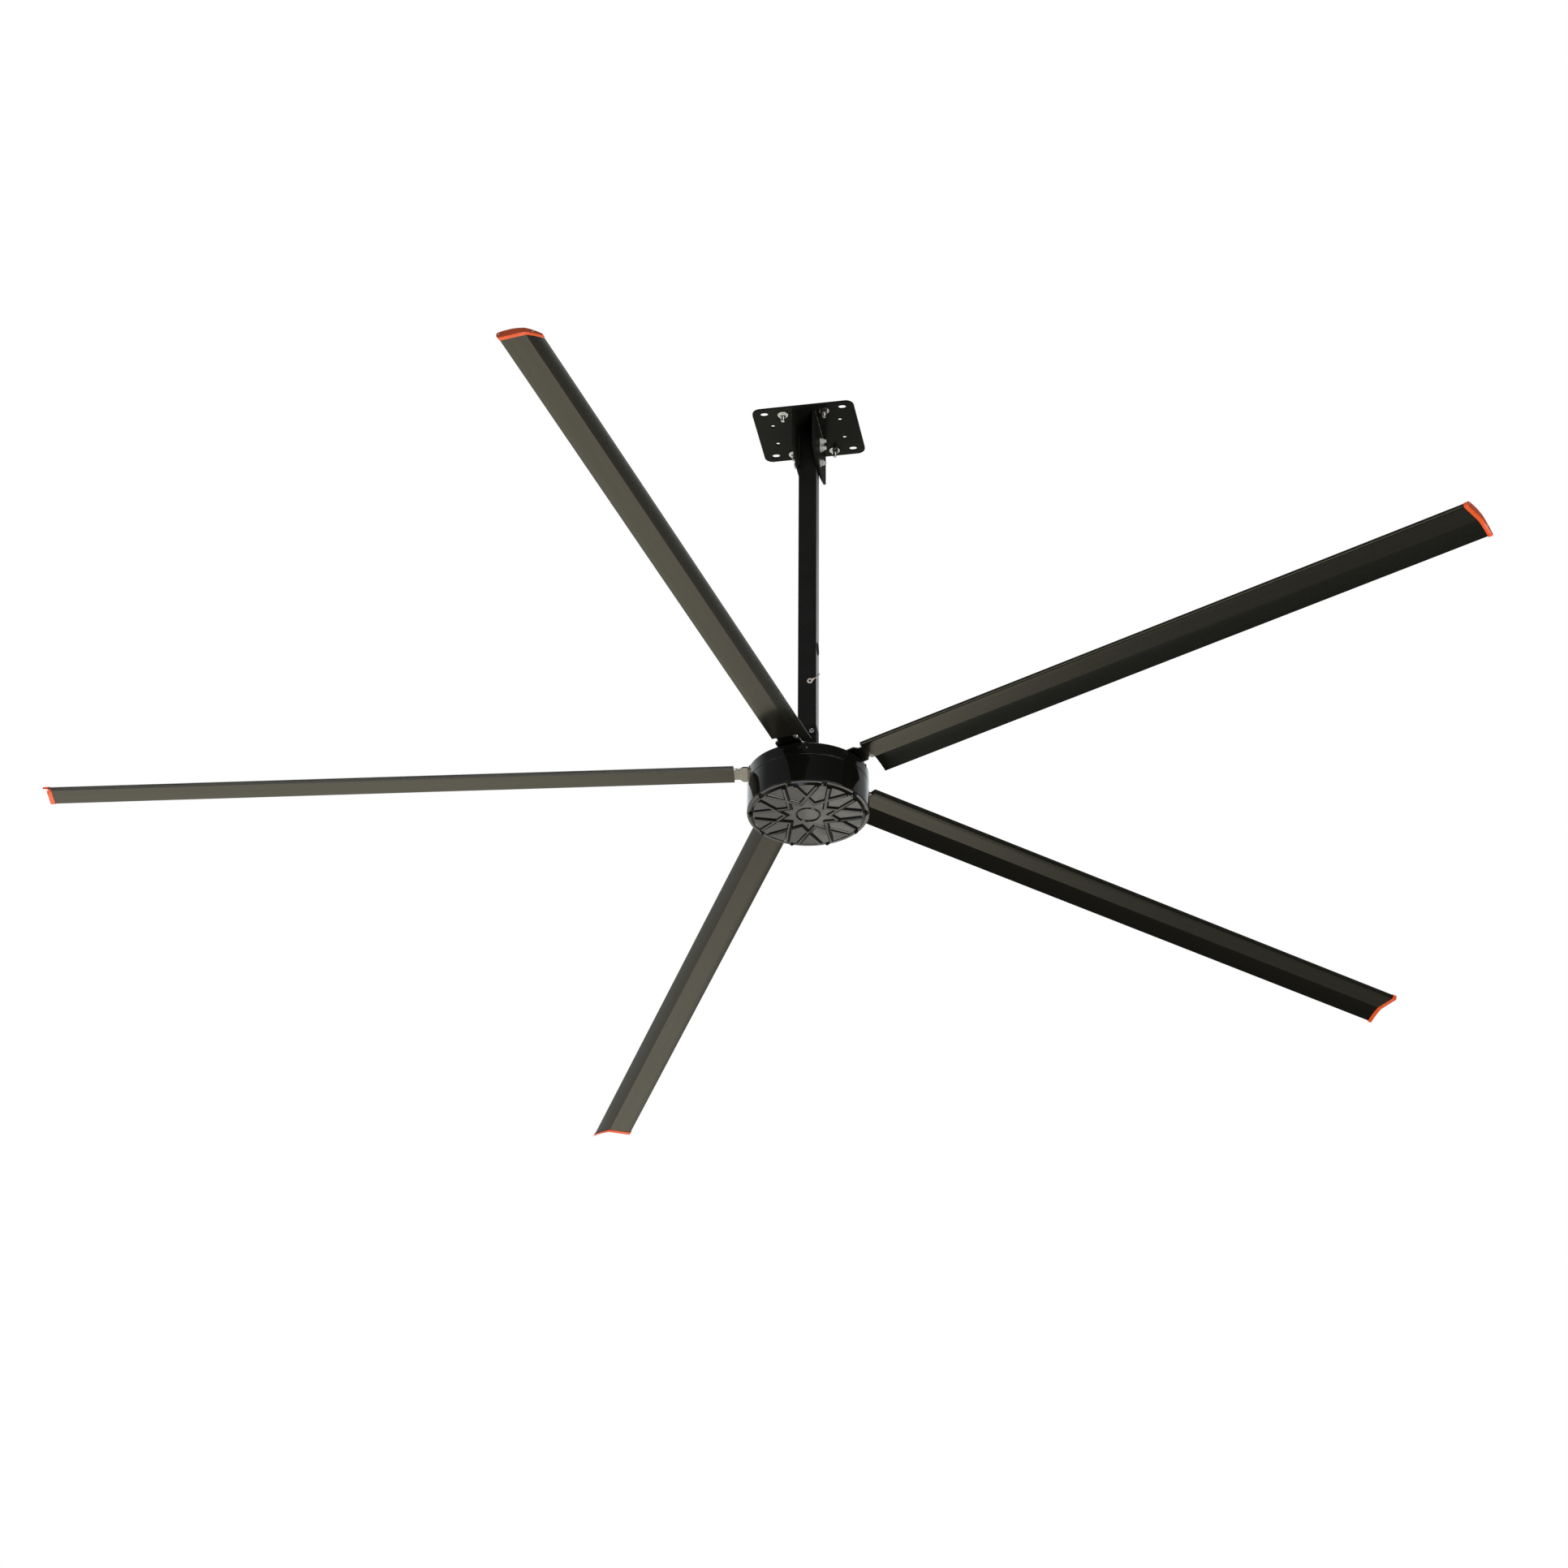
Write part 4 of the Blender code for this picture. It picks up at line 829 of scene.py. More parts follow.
def makeTerminal():
    look = terminalLook
    face = tubeSide / 2 + gap
    spot = Vector((look["offset"], -face, tubeSeam + look["rise"]))
    half = look["tongue"] / 2
    neck = (look["radius"] ** 2 - half ** 2) ** 0.5
    outline = [(look["reach"], -half), (look["reach"], half)]
    for index in range(1, look["ringSides"]):
        angle = 2 * pi * index / look["ringSides"]
        if look["radius"] * cos(angle) < neck:
            outline.append((look["radius"] * cos(angle), look["radius"] * sin(angle)))
    rings = [[Vector((x, y, z)) for x, y in outline] for z in (0, look["thickness"])]
    hole = rod("hole", look["screw"] + gap, -overrun, look["thickness"] + overrun)
    tongue = carved(loft("ring_terminal", rings), hole)

    def barrelRadius(distance):
        crimp = sin(pi * distance / look["barrelLength"]) ** 4
        return look["barrel"] * (1 - look["crimp"] * crimp)

    steps = look["barrelSteps"]
    barrelPath = [
        Vector((look["reach"] - look["barrelLength"] * (1 - step / steps), 0, look["barrel"]))
        for step in range(steps + 1)
    ]
    barrel = swept("barrel", barrelPath, barrelRadius, 32)
    mesh = joined("ring_terminal", [(tongue, Matrix()), (barrel, Matrix())])
    place = move(*spot) @ turn("Y", -look["lean"]) @ turn("X", 90)
    bevel(addFine("ring_terminal", mesh, "terminal_metal", "frame", place), look["edge"], 2)
    screw = crossHead("terminal_screw", look["head"], look["headHeight"], look["screw"], look["screwLength"])
    seat = spot - Vector((0, look["thickness"] + gap, 0))
    place = move(*seat) @ turn("X", 90) @ turn("Z", look["screwTurn"])
    addFine("terminal_screw", screw, "screw_red", "frame", place)


# The earth lead's route, from the terminal round the tube to its back
leadRoute = (
    (0.0296, -0.0413, -1.3068), (0.0335, -0.0411, -1.3050), (0.0372, -0.0396, -1.3026),
    (0.0397, -0.0366, -1.2996), (0.0406, -0.0325, -1.2962), (0.0404, -0.0200, -1.2860),
    (0.0404, 0.0000, -1.2690), (0.0404, 0.0200, -1.2500), (0.0406, 0.0325, -1.2390),
    (0.0397, 0.0370, -1.2340), (0.0370, 0.0397, -1.2295), (0.0325, 0.0407, -1.2250),
    (0.0225, 0.0410, -1.2165), (0.0130, 0.0430, -1.2090), (0.0060, 0.0475, -1.2030),
    (0.0020, 0.0510, -1.1975), (0.0003, 0.0520, -1.1915), (0.0000, 0.0500, -1.1860),
    (0.0000, 0.0460, -1.1833), (0.0000, 0.0400, -1.1830), (0.0000, 0.0300, -1.1830),
)


def curvePiece(name, path, radius, slot, body, nodes=()):
    curve = bpy.data.curves.new(name, "CURVE")
    curve.dimensions = "3D"
    curve.bevel_depth = radius
    curve.bevel_resolution = 5
    curve.use_fill_caps = True
    spline = curve.splines.new("POLY")
    spline.points.add(len(path) - 1)
    for point, spot in zip(spline.points, path):
        point.co = (*spot, 1)
    spline.use_smooth = True
    return addPiece(name, curve, slot, body, nodes=nodes)


def makeYoke():
    look = yokeLook
    inner = tubeSide - 2 * tubeWall
    innerCorner = tubeLook["corner"] - tubeWall
    baseTop = look["baseThickness"]
    sides = look["boreSides"]
    bore = [
        Vector((look["bore"] * cos(angle), look["bore"] * sin(angle), 0))
        for angle in [2 * pi * (index + 0.5) / sides for index in range(sides)]
    ]
    rings = [
        square(tubeSide, yokeHeight, tubeLook["corner"]), square(tubeSide, baseTop, tubeLook["corner"]),
        square(look["baseSide"], baseTop, look["baseCorner"]),
        square(look["baseSide"], 0, look["baseCorner"]),
        bore, [point + Vector((0, 0, baseTop)) for point in bore],
        square(inner, baseTop, innerCorner), square(inner, yokeHeight, innerCorner),
    ]
    tools = joined("yoke_tools", yokeBoltTools(yokeHeight + gap))
    mesh = carved(loft("motor_yoke", rings, hollow=True), tools)
    place = move(0, 0, yokeBase)
    bevel(addFine("motor_yoke", mesh, "black_coat", "frame", place, "matte_coat"), look["edge"])
    reach = tubeSide / 2 - look["weldEnd"]
    level = yokeBase + baseTop + look["weldOut"]
    out = tubeSide / 2 + look["weldOut"]
    for number in range(4):
        bead = weldBead("yoke_weld", (out, -reach, level), (out, reach, level), look["weld"])
        place = turn("Z", 90 * number)
        addPiece(f"yoke_weld_{number + 1}", bead, "black_coat", "frame", place, "weld_coat")
    face = tubeSide / 2 + gap
    length = 2 * face + look["nutHeight"] + look["boltEnd"]
    bolt = hexagonBolt("yoke_bolt", {**look, "length": length})
    nut = hexagonNut("yoke_nut", look)
    height = tubeSeam - look["boltDrop"]
    for number, side in enumerate((-1, 1), start=1):
        x = side * look["boltSpacing"] / 2
        front = move(x, -face, height) @ turn("X", 90) @ turn("Z", 11 * number)
        back = move(x, face, height) @ turn("X", -90) @ turn("Z", 17 * number)
        addFine(f"yoke_bolt_{number}", bolt, "zinc", "frame", front)
        addFine(f"yoke_nut_{number}", nut, "zinc", "frame", back)


# Heights inside the hub, below its top face
hubLook = {
    "radius": 0.246, "wall": 0.008, "band": 0.0525, "top": 0.010, "topEdge": 0.004, "drum": 0.1247,
    "chamfer": 0.0016, "opening": 0.040, "seat": (0.158, 0.238), "seatHeight": 0.003,
    "flange": 0.004, "grooveInner": 0.219, "grooveDepth": 0.002,
    "discDrop": 0.0067, "discSunk": 0.0013, "discThickness": 0.005, "coverWall": 0.004,
    "ring": (0.041, 0.051), "ringSoft": 0.0015, "lipEdge": 0.0012, "lipWidth": 0.0042,
    "lipFoot": 0.0066, "lipRise": 0.0034, "recess": 0.0012, "recessEdge": 0.0010,
    "ribHeight": 0.004, "ribRoot": 0.023, "ribCrest": 0.0135, "ribVertex": 0.087, "ribEnd": 0.2175,
    "ribShift": 6.5, "ribStep": 0.00004, "groove": (0.2285, 0.2325), "grooveLean": 0.0004,
    "rimChamfer": (0.2212, 0.2282, 0.0047), "rimStep": 0.0001, "rimFoot": 0.0006,
    "ribs": 10, "lugPitch": 0.232, "lugRadius": 0.011, "lugHeight": 0.0045, "lugSteps": 24,
    "lugScrew": (0.0055, 0.0060, 0.0030), "sides": 160,
}
# Radii, or a radius and a height
shaftLook = {
    "bore": 0.024, "flange": 0.065, "radius": 0.035, "collar": (0.042, 0.010), "end": 0.030,
    "nut": (0.0375, 0.010), "nutAbove": 0.002, "nutGap": 0.001,
}
# Inner and outer radius and height
bearingLook = {
    "upper": (shaftLook["radius"], 0.055, 0.020), "lower": (shaftLook["end"], 0.0475, 0.018),
    "lip": 0.0072, "boss": 0.0125, "shieldDrop": 0.0008,
}
drumTop = -hubLook["band"] - gap
drumBottom = drumTop - hubLook["drum"]
coverTop = drumBottom - gap
flangeFace = coverTop - hubLook["flange"]
discFace = flangeFace - hubLook["discDrop"]
discLevel = discFace + hubLook["discSunk"]
coverInside = discFace + hubLook["discThickness"]
upperTop = -bearingLook["lip"] - gap
upperBottom = upperTop - bearingLook["upper"][2]
nutBottom = coverInside + shaftLook["nutAbove"]
lowerBottom = nutBottom + shaftLook["nut"][1] + shaftLook["nutGap"]
lowerTop = lowerBottom + bearingLook["lower"][2]
hubPlace = move(0, 0, hubTop)
firstBlade = 44.09  # degrees from X


# A piece of the hub turned about its axis, which stands for its CAD node
def addTurned(node, profile, sides, edge, slot, body):
    addFine(node, turned(node, profile, sides, edge), slot, body, hubPlace)


def makeTopCover():
    look = hubLook
    radius, opening, band, top = look["radius"], look["opening"], look["band"], look["top"]
    bore = bearingLook["upper"][1] + gap
    boss = bore + bearingLook["boss"]
    inner = radius - look["wall"]
    bossBottom = upperBottom - gap
    seatIn, seatOut = look["seat"]
    seatTop = look["seatHeight"]
    edge = look["topEdge"]
    profile = [(opening, 0), (seatIn, 0), (seatIn, seatTop), (seatOut, seatTop), (seatOut, 0)]
    steps = 6
    for step in range(steps + 1):
        angle = pi / 2 * (1 - step / steps)
        profile.append((radius - edge + edge * cos(angle), edge * (sin(angle) - 1)))
    profile += [
        (radius, look["chamfer"] - band), (radius - look["chamfer"], -band), (inner, -band),
        (inner, -top), (boss, -top), (boss, bossBottom), (bore, bossBottom),
        (bore, -bearingLook["lip"]), (opening, -bearingLook["lip"]),
    ]
    addTurned("hub_top_cover", profile, look["sides"], 0.0004, "hub_black", "rotor")


def makeDrum():
    radius, soft = hubLook["radius"], hubLook["chamfer"]
    inner = radius - hubLook["wall"]
    profile = (
        (inner, drumTop), (radius - soft, drumTop), (radius, drumTop - soft),
        (radius, drumBottom + 0.9 * soft), (radius - 1.4 * soft, drumBottom), (inner, drumBottom),
    )
    addTurned("hub_drum", profile, hubLook["sides"], 0.0009, "hub_black", "rotor")


# A bent raised bar from one rim to its vertex and out again, mitred at the bend
def ribVee(vertex, ends, crest):
    look = hubLook
    half = look["ribRoot"] / 2
    top = look["ribCrest"] / 2
    # From the buried foot up the side to the eased crest
    section = [
        (half, discLevel + 0.001), (half - 0.0003, discLevel - 0.0002), (top + 0.0010, crest + 0.0009),
        (top + 0.0004, crest + 0.0002), (top - 0.0004, crest),
    ]
    section += [(-width, height) for width, height in reversed(section)]
    arriving = (vertex - ends[0]).normalized()
    leaving = (ends[1] - vertex).normalized()
    first = Vector((-arriving.y, arriving.x, 0))
    second = Vector((-leaving.y, leaving.x, 0))
    mitre = (first + second) / (1 + first.dot(second))
    rings = []
    for point, across in ((ends[0], first), (vertex, mitre), (ends[1], second)):
        rings.append([point + across * width + Vector((0, 0, height)) for width, height in section])
    return loft("rib", rings, sharp=40)


# An ear that reaches from the cover's disc to past its screw
def coverLug():
    look = hubLook
    inner = look["grooveInner"] - look["coverWall"]
    pitch, radius, steps = look["lugPitch"], look["lugRadius"], look["lugSteps"]
    outline = [(inner, -radius)]
    for step in range(steps + 1):
        angle = pi * (step / steps - 1 / 2)
        outline.append((pitch + radius * cos(angle), radius * sin(angle)))
    outline.append((inner, radius))
    middle = Vector((pitch, 0))
    low = flangeFace - look["lugHeight"]
    # Height and shrinkage of each ring, for an eased lower edge
    levels = ((flangeFace + 0.001, 0), (low + 0.0008, 0), (low + 0.0002, 0.0003), (low, 0.0009))
    rings = []
    for height, shrink in levels:
        ring = []
        for point in outline:
            spot = Vector(point)
            spot += (middle - spot).normalized() * shrink
            ring.append(Vector((spot.x, spot.y, height)))
        rings.append(ring)
    return loft("lug", rings)


def makeBottomCover():
    look = hubLook
    bore = bearingLook["lower"][1] + gap
    boss = bore + bearingLook["boss"]
    seat = lowerBottom - gap
    grooveIn, grooveOut = look["groove"]
    chamferIn, chamferOut, chamferDrop = look["rimChamfer"]
    floor = flangeFace + look["grooveDepth"]
    wall = look["grooveInner"] - look["coverWall"]
    crest = discFace - look["ribHeight"]
    ringIn, ringOut = look["ring"]
    recess = discLevel + look["recess"]
    lip = discLevel - look["lipRise"]
    lean = look["grooveLean"]
    radius, opening, soft = look["radius"], look["opening"], look["chamfer"]
    profile = (
        (0, coverInside), (opening, coverInside), (opening, seat), (bore, seat), (bore, lowerTop),
        (boss, lowerTop), (boss, coverInside), (wall, coverInside), (wall, coverTop),
        (radius - soft * 0.5, coverTop), (radius, coverTop - soft * 0.5), (radius, flangeFace + soft),
        (radius - soft * 0.8, flangeFace),
        (grooveOut, flangeFace), (grooveOut - lean, floor), (grooveIn + lean, floor),
        (grooveIn, flangeFace), (chamferOut, flangeFace - look["rimStep"]),
        (chamferIn, flangeFace - chamferDrop), (chamferIn - look["rimFoot"], discLevel),
        (ringOut + look["ringSoft"], discLevel), (ringOut, discLevel), (ringOut - look["lipEdge"], lip),
        (ringOut - look["lipWidth"], lip), (ringOut - look["lipFoot"], recess),
        (ringIn - look["recessEdge"], recess), (0, recess),
    )
    cover = turned("hub_bottom_cover", profile, look["sides"], 0.0007)
    place = hubPlace @ turn("Z", firstBlade)
    addFine("hub_bottom_cover", cover, "hub_black", "rotor", place, "cover_black")
    bars = []
    lugs = []
    lug = coverLug()
    pieceTurn = 360 / look["ribs"]
    for index in range(look["ribs"]):
        lugs.append((lug, turn("Z", pieceTurn * index)))
        angle = radians(pieceTurn * index)
        vertex = Vector((cos(angle), sin(angle), 0)) * look["ribVertex"]
        ends = []
        for side in (-1, 1):
            endAngle = angle + side * radians(pieceTurn - look["ribShift"])
            ends.append(Vector((cos(endAngle), sin(endAngle), 0)) * look["ribEnd"])
        # Crests at three heights, so that crossing bars don't share a plane
        bars.append((ribVee(vertex, ends, crest + look["ribStep"] * (index % 3)), Matrix()))
    addPiece("cover_ribs", joined("cover_ribs", bars, 50), "hub_black", "rotor", place)
    addPiece("cover_lugs", joined("cover_lugs", lugs), "hub_black", "rotor", place)
    screw = socketHead("cover_screw", *look["lugScrew"])
    low = flangeFace - look["lugHeight"]
    for index in range(look["ribs"]):
        spot = hubPlace @ turn("Z", firstBlade + pieceTurn * index) @ move(look["lugPitch"], 0, low)
        addPiece(f"cover_screw_{index + 1}", screw, "hub_black", "rotor", spot @ turn("X", 180), "black_coat")


# A cylinder head with a hexagon socket, its seat at the origin
def socketHead(name, head, height, socket):
    mesh = turned(name, [(0, height), (head, height), (head, 0), (0, 0)], 48, head * 0.14)
    levels = (height * 0.45, height + overrun)
    tool = loft("socket", [hexagon(socket * 1.7, level, count=24) for level in levels])
    return carved(mesh, tool)


def makeShaft():
    look = shaftLook
    bore, flange, radius, end = (look[name] for name in ("bore", "flange", "radius", "end"))
    top = shaftTop - hubTop
    flangeBottom = top - shaftFlange
    collar, collarHeight = look["collar"]
    collarTop = upperBottom - gap
    collarBottom = collarTop - collarHeight
    endTop = lowerTop + gap
    bottom = nutBottom - look["nutGap"]
    profile = (
        (bore, top), (flange, top), (flange, flangeBottom), (radius, flangeBottom), (radius, collarTop),
        (collar, collarTop), (collar, collarBottom), (radius, collarBottom), (radius, endTop),
        (end, endTop), (end, bottom), (bore, bottom),
    )
    addTurned("stator_shaft", profile, 96, 0.0005, "steel", "frame")
    nut, nutHeight = look["nut"]
    ring = ringProfile(end + gap, nut, nutBottom, nutBottom + nutHeight)
    addTurned("shaft_nut", ring, 72, 0.0005, "zinc", "frame")


# Races with a shield sunk between them
def makeBearings():
    for name, low in (("upper", upperBottom), ("lower", lowerBottom)):
        inner, outer, height = bearingLook[name]
        bore = inner + gap
        third = (outer - bore) / 3
        near, far = bore + third, outer - third
        high = low + height
        sunk = bearingLook["shieldDrop"]
        profile = (
            (bore, high), (near, high), (near, high - sunk), (far, high - sunk), (far, high), (outer, high),
            (outer, low), (far, low), (far, low + sunk), (near, low + sunk), (near, low), (bore, low),
        )
        addTurned(name + "_bearing", profile, 96, 0.0003, "steel", "rotor")


motorLook = {
    "top": 0.073, "magnetHeight": 0.070, "magnet": 0.0072, "air": 0.0015, "coreHeight": 0.060,
    "coreDepth": 0.031, "teeth": 12, "toothDepth": 0.018, "toothShare": 0.62, "hubWall": 0.015,
    "rimWall": 0.008, "web": 0.016, "rise": 0.016, "inset": 0.004, "width": 0.020, "windingRound": 0.006,
}


def makeMotor():
    look = motorLook
    middle = -look["top"] - look["magnetHeight"] / 2
    magnetOuter = hubLook["radius"] - hubLook["wall"] - gap
    magnetInner = magnetOuter - look["magnet"]
    half = look["magnetHeight"] / 2
    magnet = ringProfile(magnetInner, magnetOuter, middle - half, middle + half)
    addTurned("magnet_ring", magnet, hubLook["sides"], 0.0005, "magnet_grey", "rotor")
    coreOuter = magnetInner - look["air"]
    coreInner = coreOuter - look["coreDepth"]
    half = look["coreHeight"] / 2
    high, low = middle + half, middle - half
    hubInner = shaftLook["radius"] + gap
    hubOuter = hubInner + look["hubWall"]
    rimOuter = coreInner - gap
    rimInner = rimOuter - look["rimWall"]
    webHigh, webLow = middle + look["web"] / 2, middle - look["web"] / 2
    profile = (
        (hubInner, high), (hubOuter, high), (hubOuter, webHigh), (rimInner, webHigh), (rimInner, high),
        (rimOuter, high), (rimOuter, low), (rimInner, low), (rimInner, webLow), (hubOuter, webLow),
        (hubOuter, low), (hubInner, low),
    )
    addTurned("stator_carrier", profile, 120, 0.0005, "steel", "frame")
    teeth = look["teeth"]
    slotFloor = coreOuter - look["toothDepth"]
    outline = []
    bore = []
    halfPitch = pi / teeth
    halfTooth = halfPitch * look["toothShare"]
    halfGap = halfPitch * (1 - look["toothShare"])
    for tooth in range(teeth):
        centre = 2 * pi * tooth / teeth
        for start, stop, radius in (
            (centre - halfTooth, centre + halfTooth, coreOuter),
            (centre + halfPitch - halfGap, centre + halfPitch + halfGap, slotFloor),
        ):
            for step in range(5):
                angle = start + (stop - start) * step / 4
                outline.append((radius * cos(angle), radius * sin(angle)))
    for index in range(10 * teeth):
        angle = 2 * pi * (index - 2) / (10 * teeth)
        bore.append((coreInner * cos(angle), coreInner * sin(angle)))
    rings = [
        [Vector((x, y, height)) for x, y in loop]
        for loop, height in ((outline, high), (outline, low), (bore, low), (bore, high))
    ]
    addFine("stator_core", loft("stator_core", rings, hollow=True), "core_steel", "frame", hubPlace)
    inner = coreInner + look["inset"]
    outer = inner + look["width"]
    for name, side in (("winding_upper", 1), ("winding_lower", -1)):
        base = middle + side * (half + gap)
        crest = base + side * look["rise"]
        profile = ((inner, base), (outer, base), (outer, crest), (inner, crest))
        addTurned(name, profile, 120, look["windingRound"], "copper_winding", "frame")


# Along the chord, sizes run from the nose to the flap's edge
bladeLook = {
    "count": 5, "root": 0.2986, "length": 2.7734, "droop": 0.0595, "wall": 0.0025,
    "front": 0.051, "flat": 0.050, "flap": 0.0697, "flapDrop": 0.033, "slope": 0.328,
    "thickness": 0.022, "noseRound": 0.007, "noseLift": 0.005, "hollowEnd": 0.85,
    "webs": (-0.034, 0.060), "webWall": 0.0018, "webInset": 0.0006, "endEdge": 0.0004,
    "screws": (0.045, 0.145, 0.245), "screwAcross": 0.004, "screw": (0.0060, 0.0030, 0.0030, 0.006),
}
# Share of the chord, share of the thickness
thicknessShares = (
    (0.0, 0.68), (0.012, 0.80), (0.06, 0.90), (0.13, 0.96), (0.22, 0.99), (0.32, 1.0),
    (0.43, 0.92), (0.56, 0.72), (0.72, 0.53), (0.87, 0.33), (0.95, 0.215), (1.0, 0.14),
)
chord = bladeLook["front"] + bladeLook["flat"] + bladeLook["flap"]


# Height of the blade's underside at a distance behind its nose
def bladeLower(back):
    look = bladeLook
    if back < look["noseRound"]:
        return look["noseLift"] * (1 - back / look["noseRound"]) ** 2
    along = back - look["front"] - look["flat"]
    if along <= 0:
        return 0
    curve = (look["flapDrop"] - look["slope"] * look["flap"]) / look["flap"] ** 2
    return -(look["slope"] * along + curve * along ** 2)


# Thickness share by a smooth curve through the table
def thicknessAt(share):
    table = thicknessShares
    index = 0
    while index < len(table) - 2 and share > table[index + 1][0]:
        index += 1
    (before, low), (after, high) = table[index], table[index + 1]

    def slopeAt(point):
        first = table[max(point - 1, 0)]
        last = table[min(point + 1, len(table) - 1)]
        return (last[1] - first[1]) / (last[0] - first[0])

    width = after - before
    t = (share - before) / width
    return (
        low * (2 * t ** 3 - 3 * t ** 2 + 1) + slopeAt(index) * width * (t ** 3 - 2 * t ** 2 + t)
        + high * (3 * t ** 2 - 2 * t ** 3) + slopeAt(index + 1) * width * (t ** 3 - t ** 2)
    )


def bladeUpper(back):
    return min(bladeLower(back), 0) + bladeLook["thickness"] * thicknessAt(back / chord)


def lowerStations():
    look = bladeLook
    stations = [look["noseRound"] * (step / 10) for step in range(10)]
    flat = look["front"] + look["flat"] - look["noseRound"]
    stations += [look["noseRound"] + flat * step / 4 for step in range(4)]
    stations += [look["front"] + look["flat"] + look["flap"] * step / 24 for step in range(25)]
    return stations


def upperStations():
    return [chord * (step / 32) ** 1.5 for step in range(32, -1, -1)]


# The blade's outline, or that of its hollow, inset by a wall and drawn in along the chord
def bladeOutline(wall=0.0, shrink=1.0):
    outline = []
    for stations, heightAt, inset in (
        (lowerStations(), bladeLower, wall), (upperStations(), bladeUpper, -wall),
    ):
        for back in stations:
            inside = wall + back * shrink
            outline.append((inside - bladeLook["front"], heightAt(inside) + inset))
    return outline


# An outline moved outwards by a distance
def grown(outline, distance):
    result = []
    count = len(outline)
    for index in range(count):
        point = Vector(outline[index])
        arriving = (point - Vector(outline[index - 1])).normalized()
        leaving = (Vector(outline[(index + 1) % count]) - point).normalized()
        first = Vector((arriving.y, -arriving.x))
        second = Vector((leaving.y, -leaving.x))
        shift = (first + second) / (1 + first.dot(second)) * distance
        result.append((point.x + shift.x, point.y + shift.y))
    return result


def sectionRing(outline, along):
    fall = bladeLook["droop"] * along / bladeLook["length"]
    return [Vector((along, across, up - fall)) for across, up in outline]


def bladeMesh():
    look = bladeLook
    length = look["length"]
    outer = bladeOutline()
    inner = bladeOutline(look["wall"], (look["hollowEnd"] * chord - look["wall"]) / chord)
    shell = loft("blade", [
        sectionRing(outer, look["endEdge"]), sectionRing(outer, length), sectionRing(inner, length),
        sectionRing(inner, 0), sectionRing(grown(outer, -look["endEdge"]), 0),
    ], hollow=True, sharp=12)
    pieces = [(shell, Matrix())]
    for across in look["webs"]:
        start, stop = across - look["webWall"] / 2, across + look["webWall"] / 2
        low = bladeLower(across + look["front"]) + look["wall"] * 0.6
        high = bladeUpper(across + look["front"]) - look["wall"] * 0.6
        outline = ((start, low), (stop, low), (stop, high), (start, high))
        web = loft("web", [sectionRing(outline, along) for along in (look["webInset"], length)])
        pieces.append((web, Matrix()))
    return joined("blade", pieces, 12)


capLook = {
    "lap": 0.015, "wall": 0.0018, "end": 0.0044, "edge": 0.0010, "mouthEdge": 0.0004,
    "screws": ((-0.0440, 0.0105), (0.0850, -0.0090)), "screw": (0.0034, 0.0016, 0.0015, 0.004),
    "screwSunk": 0.0012,
    # The rounded rim and the sunk face, inwards and back from the corner in widths of the edge
    "rim": ((0, 1.4), (0.15, 0.95), (0.95, 0.15), (1.4, 0), (2.4, 0), (2.9, 0.6), (3.0, 1.5), (3.4, 1.6)),
}


def capMesh():
    look = capLook
    outline = bladeOutline()
    length = bladeLook["length"]
    mouth = length - look["lap"]
    floor = length + gap
    face = floor + look["end"]
    edge, lipEdge = look["edge"], look["mouthEdge"]
    full = gap + look["wall"]
    rings = [
        sectionRing(grown(outline, gap), floor), sectionRing(grown(outline, gap), mouth),
        sectionRing(grown(outline, full - lipEdge), mouth),
        sectionRing(grown(outline, full), mouth + lipEdge),
    ]
    for inward, back in look["rim"]:
        rings.append(sectionRing(grown(outline, full - edge * inward), face - edge * back))
    return loft("end_cap", rings)


ironLook = {
    "thickness": 0.006, "inner": 0.165, "corner": 0.012, "front": 0.047, "back": 0.058,
    "neck": (0.030, 0.040), "shoulder": (0.260, 0.278), "lap": 0.300, "edge": 0.0010,
    "bolts": ((0.182, -0.030), (0.182, 0.041), (0.222, -0.030), (0.222, 0.041)),
    "bolt": {
        "shank": 0.004, "pitch": 0.00125, "flats": 0.013, "collar": (0.0090, 0.0012),
        "head": 0.0053, "length": 0.0100, "plain": 0.0020,
    },
    "cornerSteps": 9, "shoulderSteps": 16,
}


def ironMesh():
    look = ironLook
    front, back, corner, steps = look["front"], look["back"], look["corner"], look["cornerSteps"]
    neckFront, neckBack = look["neck"]
    stations = []
    for step in range(steps + 1):
        angle = pi / 2 * step / steps
        cut = corner * (1 - sin(angle))
        stations.append((look["inner"] + corner * (1 - cos(angle)), front - cut, back - cut))
    start, stop = look["shoulder"]
    for step in range(look["shoulderSteps"] + 1):
        share = step / look["shoulderSteps"]
        blend = share * share * (3 - 2 * share)
        stations.append((
            start + (stop - start) * share, front + (neckFront - front) * blend,
            back + (neckBack - back) * blend,
        ))
    root = bladeLook["root"]
    stations += [(root, neckFront, neckBack), (root + look["lap"], neckFront, neckBack)]
    rings = []
    for along, front, back in stations:
        fall = bladeLook["droop"] / bladeLook["length"] * max(along - root, 0)
        low, high = -fall, look["thickness"] - fall
        rings.append([
            Vector((along, -front, low)), Vector((along, back, low)), Vector((along, back, high)),
            Vector((along, -front, high)),
        ])
    return loft("blade_iron", rings)


